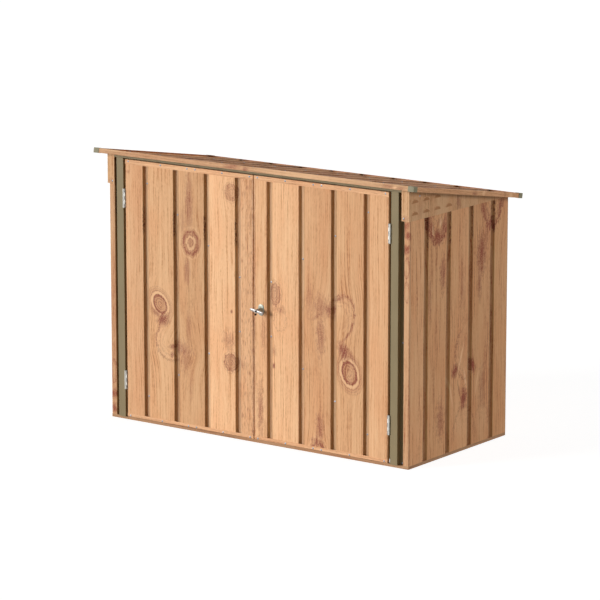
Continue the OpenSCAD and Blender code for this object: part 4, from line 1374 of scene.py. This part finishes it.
@dataclass
class Screws:
    """Low round-headed sheet-metal screws, a dome on a thin washer.

    The lists are in millimetres: RAILS across a door from its meeting edge, BRACES across and then the upper
    and the lower height, POSTS the heights beside each post, LEG the place in front of a gable trim, WEB the
    depth and height on its side, BACK across the back wall and STILES the heights at its edges.
    """

    RAILS: ClassVar[tuple] = (25, 200, 374, 426, 600, 813)
    BRACES: ClassVar[tuple] = ((100, 852, 569), (300, 994, 427), (500, 1134, 286), (700, 1276, 145))
    POSTS: ClassVar[tuple] = (904, (1255, 640, 25))
    LEG: ClassVar[Point] = (921, 1270)
    WEB: ClassVar[Point] = (-356.5, 1374)
    BACK: ClassVar[tuple] = (0, 200, 400, 600, 800)
    STILES: ClassVar[tuple] = (150, 500, 850, 1180)

    dresser: Dresser
    radius: float = 4.6 * MM
    height: float = 2.4 * MM
    segments: int = 12
    crease: float = 50.0
    groove: float = 15 * MM
    off_middle: float = 3 * MM
    recess: float = 13 * MM
    edge: float = 12 * MM
    roof_edge: float = 40 * MM

    def head(self, normal: Vector) -> Shape:
        """Makes one head at the origin, looking along a normal.

        Its radius against its height is a washer and then a quarter of an ellipse; the turned shape about -Y is
        carried onto the normal by the two directions square to it.

        Args:
            normal: direction that the head looks in.

        Returns:
            The shape.
        """
        r, h = self.radius, self.height
        profile = [(0.0, h), (0.35 * r, 0.94 * h), (0.62 * r, 0.72 * h), (0.78 * r, 0.36 * h), (r, 0.3 * h),
                   (r, -0.2 * h), (0.0, -0.2 * h)]
        points = lathe(profile, self.segments)
        out = np.array(Vector(normal).normalized())
        side = np.cross([0.0, 0.0, 1.0] if abs(out[2]) < 0.9 else [0.0, 1.0, 0.0], out)
        side /= np.linalg.norm(side)
        basis = np.stack([side, -out, np.cross(out, side)])
        return Shape.shell(points @ basis)

    def place(self, name: str, body: str, normal: Vector, places: np.ndarray | list) -> None:
        """Puts copies of the head at the places, as one piece.

        Args:
            name: the piece's name.
            body: the body that it moves with.
            normal: direction that the heads look in.
            places: middle of each head.
        """
        piece = self.head(normal).copies(np.array(places)).to_object(name, self.crease)
        self.dresser.dress(piece, Finish.SCREW, body)

    def build_doors(self) -> None:
        """Screws of the door rails, and of the braces through the groove floors."""
        for side, sign in SIDES:
            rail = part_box(f"{side}_door_top_rail")
            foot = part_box(f"{side}_door_bottom_rail")
            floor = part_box(f"{side}_door_skin")[0].y + self.groove
            rows = [(x, rail[0].y, (rail[0].z + rail[1].z) / 2 + self.off_middle) for x in self.RAILS]
            rows += [(x, foot[0].y, (foot[0].z + foot[1].z) / 2 - self.off_middle) for x in self.RAILS]
            rows += [(x, floor, z * MM) for x, *heights in self.BRACES for z in heights]
            spots = [(sign * x * MM, y, z) for x, y, z in rows]
            self.place(f"{side}_door_screws", f"{side}_door", Vector((0, -1, 0)), spots)

    def build_shelter(self) -> None:
        """Screws of the posts, walls and gable trims."""
        signs = [sign for _, sign in SIDES]
        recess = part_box("right_wall")[0].y + self.recess
        beside, heights = self.POSTS
        spots = [(s * beside * MM, recess, z * MM) for s in signs for z in heights]
        leg, high = self.LEG
        spots += [(s * leg * MM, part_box("right_gable_trim")[0].y, high * MM) for s in signs]
        self.place("front_screws", "shelter", Vector((0, -1, 0)), spots)
        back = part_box("back_wall")[1]
        heights = (30 * MM, back.z - 60 * MM)
        spots = [(s * x * MM, back.y, z) for s in signs for x in self.BACK if x or s > 0 for z in heights]
        spots += [(s * (back.x - self.edge), back.y, z * MM) for s in signs for z in self.STILES]
        self.place("back_screws", "shelter", Vector((0, 1, 0)), spots)
        depth, high = self.WEB
        for side, sign in SIDES:
            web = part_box(f"{side}_gable_trim")[1 if sign > 0 else 0].x
            self.place(f"{side}_side_screws", "shelter", Vector((sign, 0, 0)), [(web, depth * MM, high * MM)])

    def build_roof(self, roof: RoofPlane) -> None:
        """Screws along the ribs, square to the roof."""
        ribs = np.arange(-4, 5) * roof.metal.pitch
        slopes = np.array([self.roof_edge, roof.length / 2, roof.length - self.roof_edge])
        top = roof.deck + roof.rib + roof.metal.thickness
        spots = roof.place(ribs[:, None], slopes[None], np.array(top)).reshape(-1, 3)
        up = Vector((0.0, math.sin(roof.pitch), math.cos(roof.pitch)))
        self.place("roof_screws", "shelter", up, spots)

    def build(self, roof: RoofPlane) -> None:
        """All the screws."""
        self.build_doors()
        self.build_shelter()
        self.build_roof(roof)


@dataclass
class Louvres:
    """Pressed air slots of the gable trims: an arched strip painted with the shade inside the slot, under a narrow
    hood.

    Rows are a height and the places along the trim, in millimetres. Shares say where the opening and the hood
    lie in the slot's outline.
    """

    ROWS: ClassVar[tuple] = ((1343, (-396.5, -297.5, -200.5)), (1283, (-397.5, -296.5, -201.5, -96.5)))
    OPENING: ClassVar[Point] = (0.02, 0.86)
    HOOD: ClassVar[Point] = (0.84, 1.1)

    dresser: Dresser
    half_length: float = 31.0 * MM
    height: float = 18.0 * MM
    out: float = 2.0 * MM
    sunk: float = 0.3 * MM
    opening_out: float = 0.35 * MM
    hood_foot: float = 0.1 * MM

    def arch(self, inner: float, outer: float, rise: np.ndarray) -> Shape:
        """Arched strip between two shares of the opening's outline.

        The place along is half_length * share * cos a and the height is height * share * sin a, for a from 0
        to pi; rise gives the distance from the trim at each share.

        Args:
            inner: share of the outline where the strip starts.
            outer: share where it ends.
            rise: distances from the trim, from the inner to the outer edge.

        Returns:
            The closed strip, for the right side and at Y = Z = 0.
        """
        share = np.linspace(inner, outer, len(rise))
        a = np.linspace(0.0, np.pi, 15)[:, None]
        sunk = np.full_like(rise, -self.sunk)
        shares = np.concatenate([share, share[::-1]])
        depth = np.concatenate([rise, sunk])
        y = self.half_length * shares * np.cos(a)
        z = self.height * shares * np.sin(a)
        rings = np.stack(np.broadcast_arrays(depth[None], y, z), axis=-1)
        return Shape.ribbon(rings, rings[..., 1:])

    def build(self) -> None:
        """The openings and hoods of both sides."""
        spots = [(y * MM, z * MM) for z, row in self.ROWS for y in row]
        # The opening is a flat strip in the painted shade of the slot
        opening = self.arch(*self.OPENING, np.full(3, self.opening_out))
        bend = np.linspace(0.0, np.pi, 7)
        hood = self.arch(*self.HOOD, self.hood_foot + self.out * np.sin(bend))
        for side, sign in SIDES:
            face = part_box(f"{side}_gable_trim")[1 if sign > 0 else 0].x * sign
            places = np.array([(face, y, z) for y, z in spots])
            for shape, name, finish in ((opening, "openings", Finish.SHADOW), (hood, "hoods", Finish.GABLE)):
                piece = shape.copies(places).mirrored(sign < 0).to_object(f"{side}_louvre_{name}")
                self.dresser.dress(piece, finish, "shelter")


@dataclass
class Studio:
    """Pale floor, soft light from the front left and the camera."""

    ambient: float = 0.24
    lamps: tuple[tuple[str, float, float, float, float], ...] = (
        ("key", 0.88, -38.0, 12.0, 22.0),
        ("side_fill", 0.27, 106.0, 15.0, 18.0),
        ("back_fill", 0.42, 180.0, 6.0, 30.0),
    )
    floor_size: float = 60.0
    focal: float = 206.26
    sensor: float = 36.0
    eye: Direction = (10.3081, -14.1234, 4.3336)
    sight: Direction = (-0.57842, 0.78959, -0.20491)
    far: float = 200.0
    seen_glow: float = 0.87
    seen_tone: float = 0.35
    floor_tone: float = 0.5

    def floor_material(self) -> bpy.types.Material:
        """White floor: what the lens sees is mostly its own light, less the object's shadow."""
        s = NodeSheet("studio_floor")
        path = s.node("ShaderNodeLightPath")
        seen = s.total([path.outputs[k] for k in ("Is Camera Ray", "Is Glossy Ray", "Is Transmission Ray")], "ADD")
        plain = s.node("ShaderNodeBsdfDiffuse")
        s.feed(plain.inputs[0], (self.floor_tone,) * 3)
        lit = s.node("ShaderNodeBsdfDiffuse")
        s.feed(lit.inputs[0], (self.seen_tone,) * 3)
        glow = s.node("ShaderNodeEmission")
        glow.inputs["Strength"].default_value = self.seen_glow
        both = s.node("ShaderNodeAddShader")
        s.feed(both.inputs[0], lit.outputs[0])
        s.feed(both.inputs[1], glow.outputs[0])
        choose = s.node("ShaderNodeMixShader")
        s.feed(choose.inputs[0], s.math("MINIMUM", seen, 1.0))
        s.feed(choose.inputs[1], plain.outputs[0])
        s.feed(choose.inputs[2], both.outputs[0])
        s.feed(s.output.inputs[0], choose.outputs[0])
        return s.material

    def build_floor(self) -> None:
        """Flat floor just under the base rails."""
        half = self.floor_size / 2
        mesh = bpy.data.meshes.new("floor")
        mesh.from_pydata([(-half, -half, 0), (half, -half, 0), (half, half, 0), (-half, half, 0)], [], [(0, 1, 2, 3)])
        floor = bpy.data.objects.new("floor", mesh)
        bpy.context.scene.collection.objects.link(floor)
        mesh.materials.append(self.floor_material())

    def build_light(self) -> None:
        """Even world, white to the lens and to reflections, a key from the front left and two weaker fills."""
        world = bpy.data.worlds.new("studio")
        bpy.context.scene.world = world
        world.use_nodes = True
        nodes, links = world.node_tree.nodes, world.node_tree.links
        nodes.clear()
        path = nodes.new("ShaderNodeLightPath")
        first = nodes.new("ShaderNodeMath")
        second = nodes.new("ShaderNodeMath")
        second.use_clamp = True
        links.new(path.outputs["Is Camera Ray"], first.inputs[0])
        links.new(path.outputs["Is Glossy Ray"], first.inputs[1])
        links.new(first.outputs[0], second.inputs[0])
        links.new(path.outputs["Is Transmission Ray"], second.inputs[1])
        level = nodes.new("ShaderNodeMapRange")
        links.new(second.outputs[0], level.inputs[0])
        level.inputs[3].default_value = self.ambient
        level.inputs[4].default_value = 1.0
        background = nodes.new("ShaderNodeBackground")
        links.new(level.outputs[0], background.inputs["Strength"])
        output = nodes.new("ShaderNodeOutputWorld")
        links.new(background.outputs[0], output.inputs[0])
        for name, level, azimuth, height, spread in self.lamps:
            lamp = bpy.data.lights.new(name, "SUN")
            lamp.energy = level * math.pi
            lamp.angle = math.radians(spread)
            holder = bpy.data.objects.new(name, lamp)
            turn, rise = math.radians(azimuth), math.radians(height)
            flat = math.cos(rise)
            towards = Vector((math.sin(turn) * flat, -math.cos(turn) * flat, math.sin(rise)))
            holder.rotation_euler = towards.to_track_quat("Z", "Y").to_euler()
            bpy.context.scene.collection.objects.link(holder)

    def build_camera(self) -> None:
        """Long lens from the front right, a little above the roof."""
        lens = bpy.data.cameras.new("camera")
        lens.lens, lens.sensor_width, lens.clip_end = self.focal, self.sensor, self.far
        camera = bpy.data.objects.new("camera", lens)
        camera.location = self.eye
        camera.rotation_euler = Vector(self.sight).to_track_quat("-Z", "Y").to_euler()
        bpy.context.scene.collection.objects.link(camera)
        bpy.context.scene.camera = camera

    def build(self) -> None:
        """Floor, light, camera and the plain view settings."""
        self.build_camera()
        self.build_light()
        self.build_floor()
        bpy.context.scene.view_settings.view_transform = "Standard"


def main() -> None:
    """Builds the studio and the store."""
    logging.basicConfig(level=logging.INFO, format="%(message)s")
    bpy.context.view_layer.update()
    dresser, metal = Dresser(), SheetMetal()
    Studio().build()
    roof = RoofPlane()
    shelter = Shelter(dresser, metal, roof)
    shelter.build_walls()
    shelter.build_roof()
    shelter.build_frame()
    for side, _ in SIDES:
        Door(dresser, metal, side).build()
    Lock(dresser).build()
    Screws(dresser).build(roof)
    Louvres(dresser).build()
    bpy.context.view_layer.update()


if __name__ == "__main__":
    main()
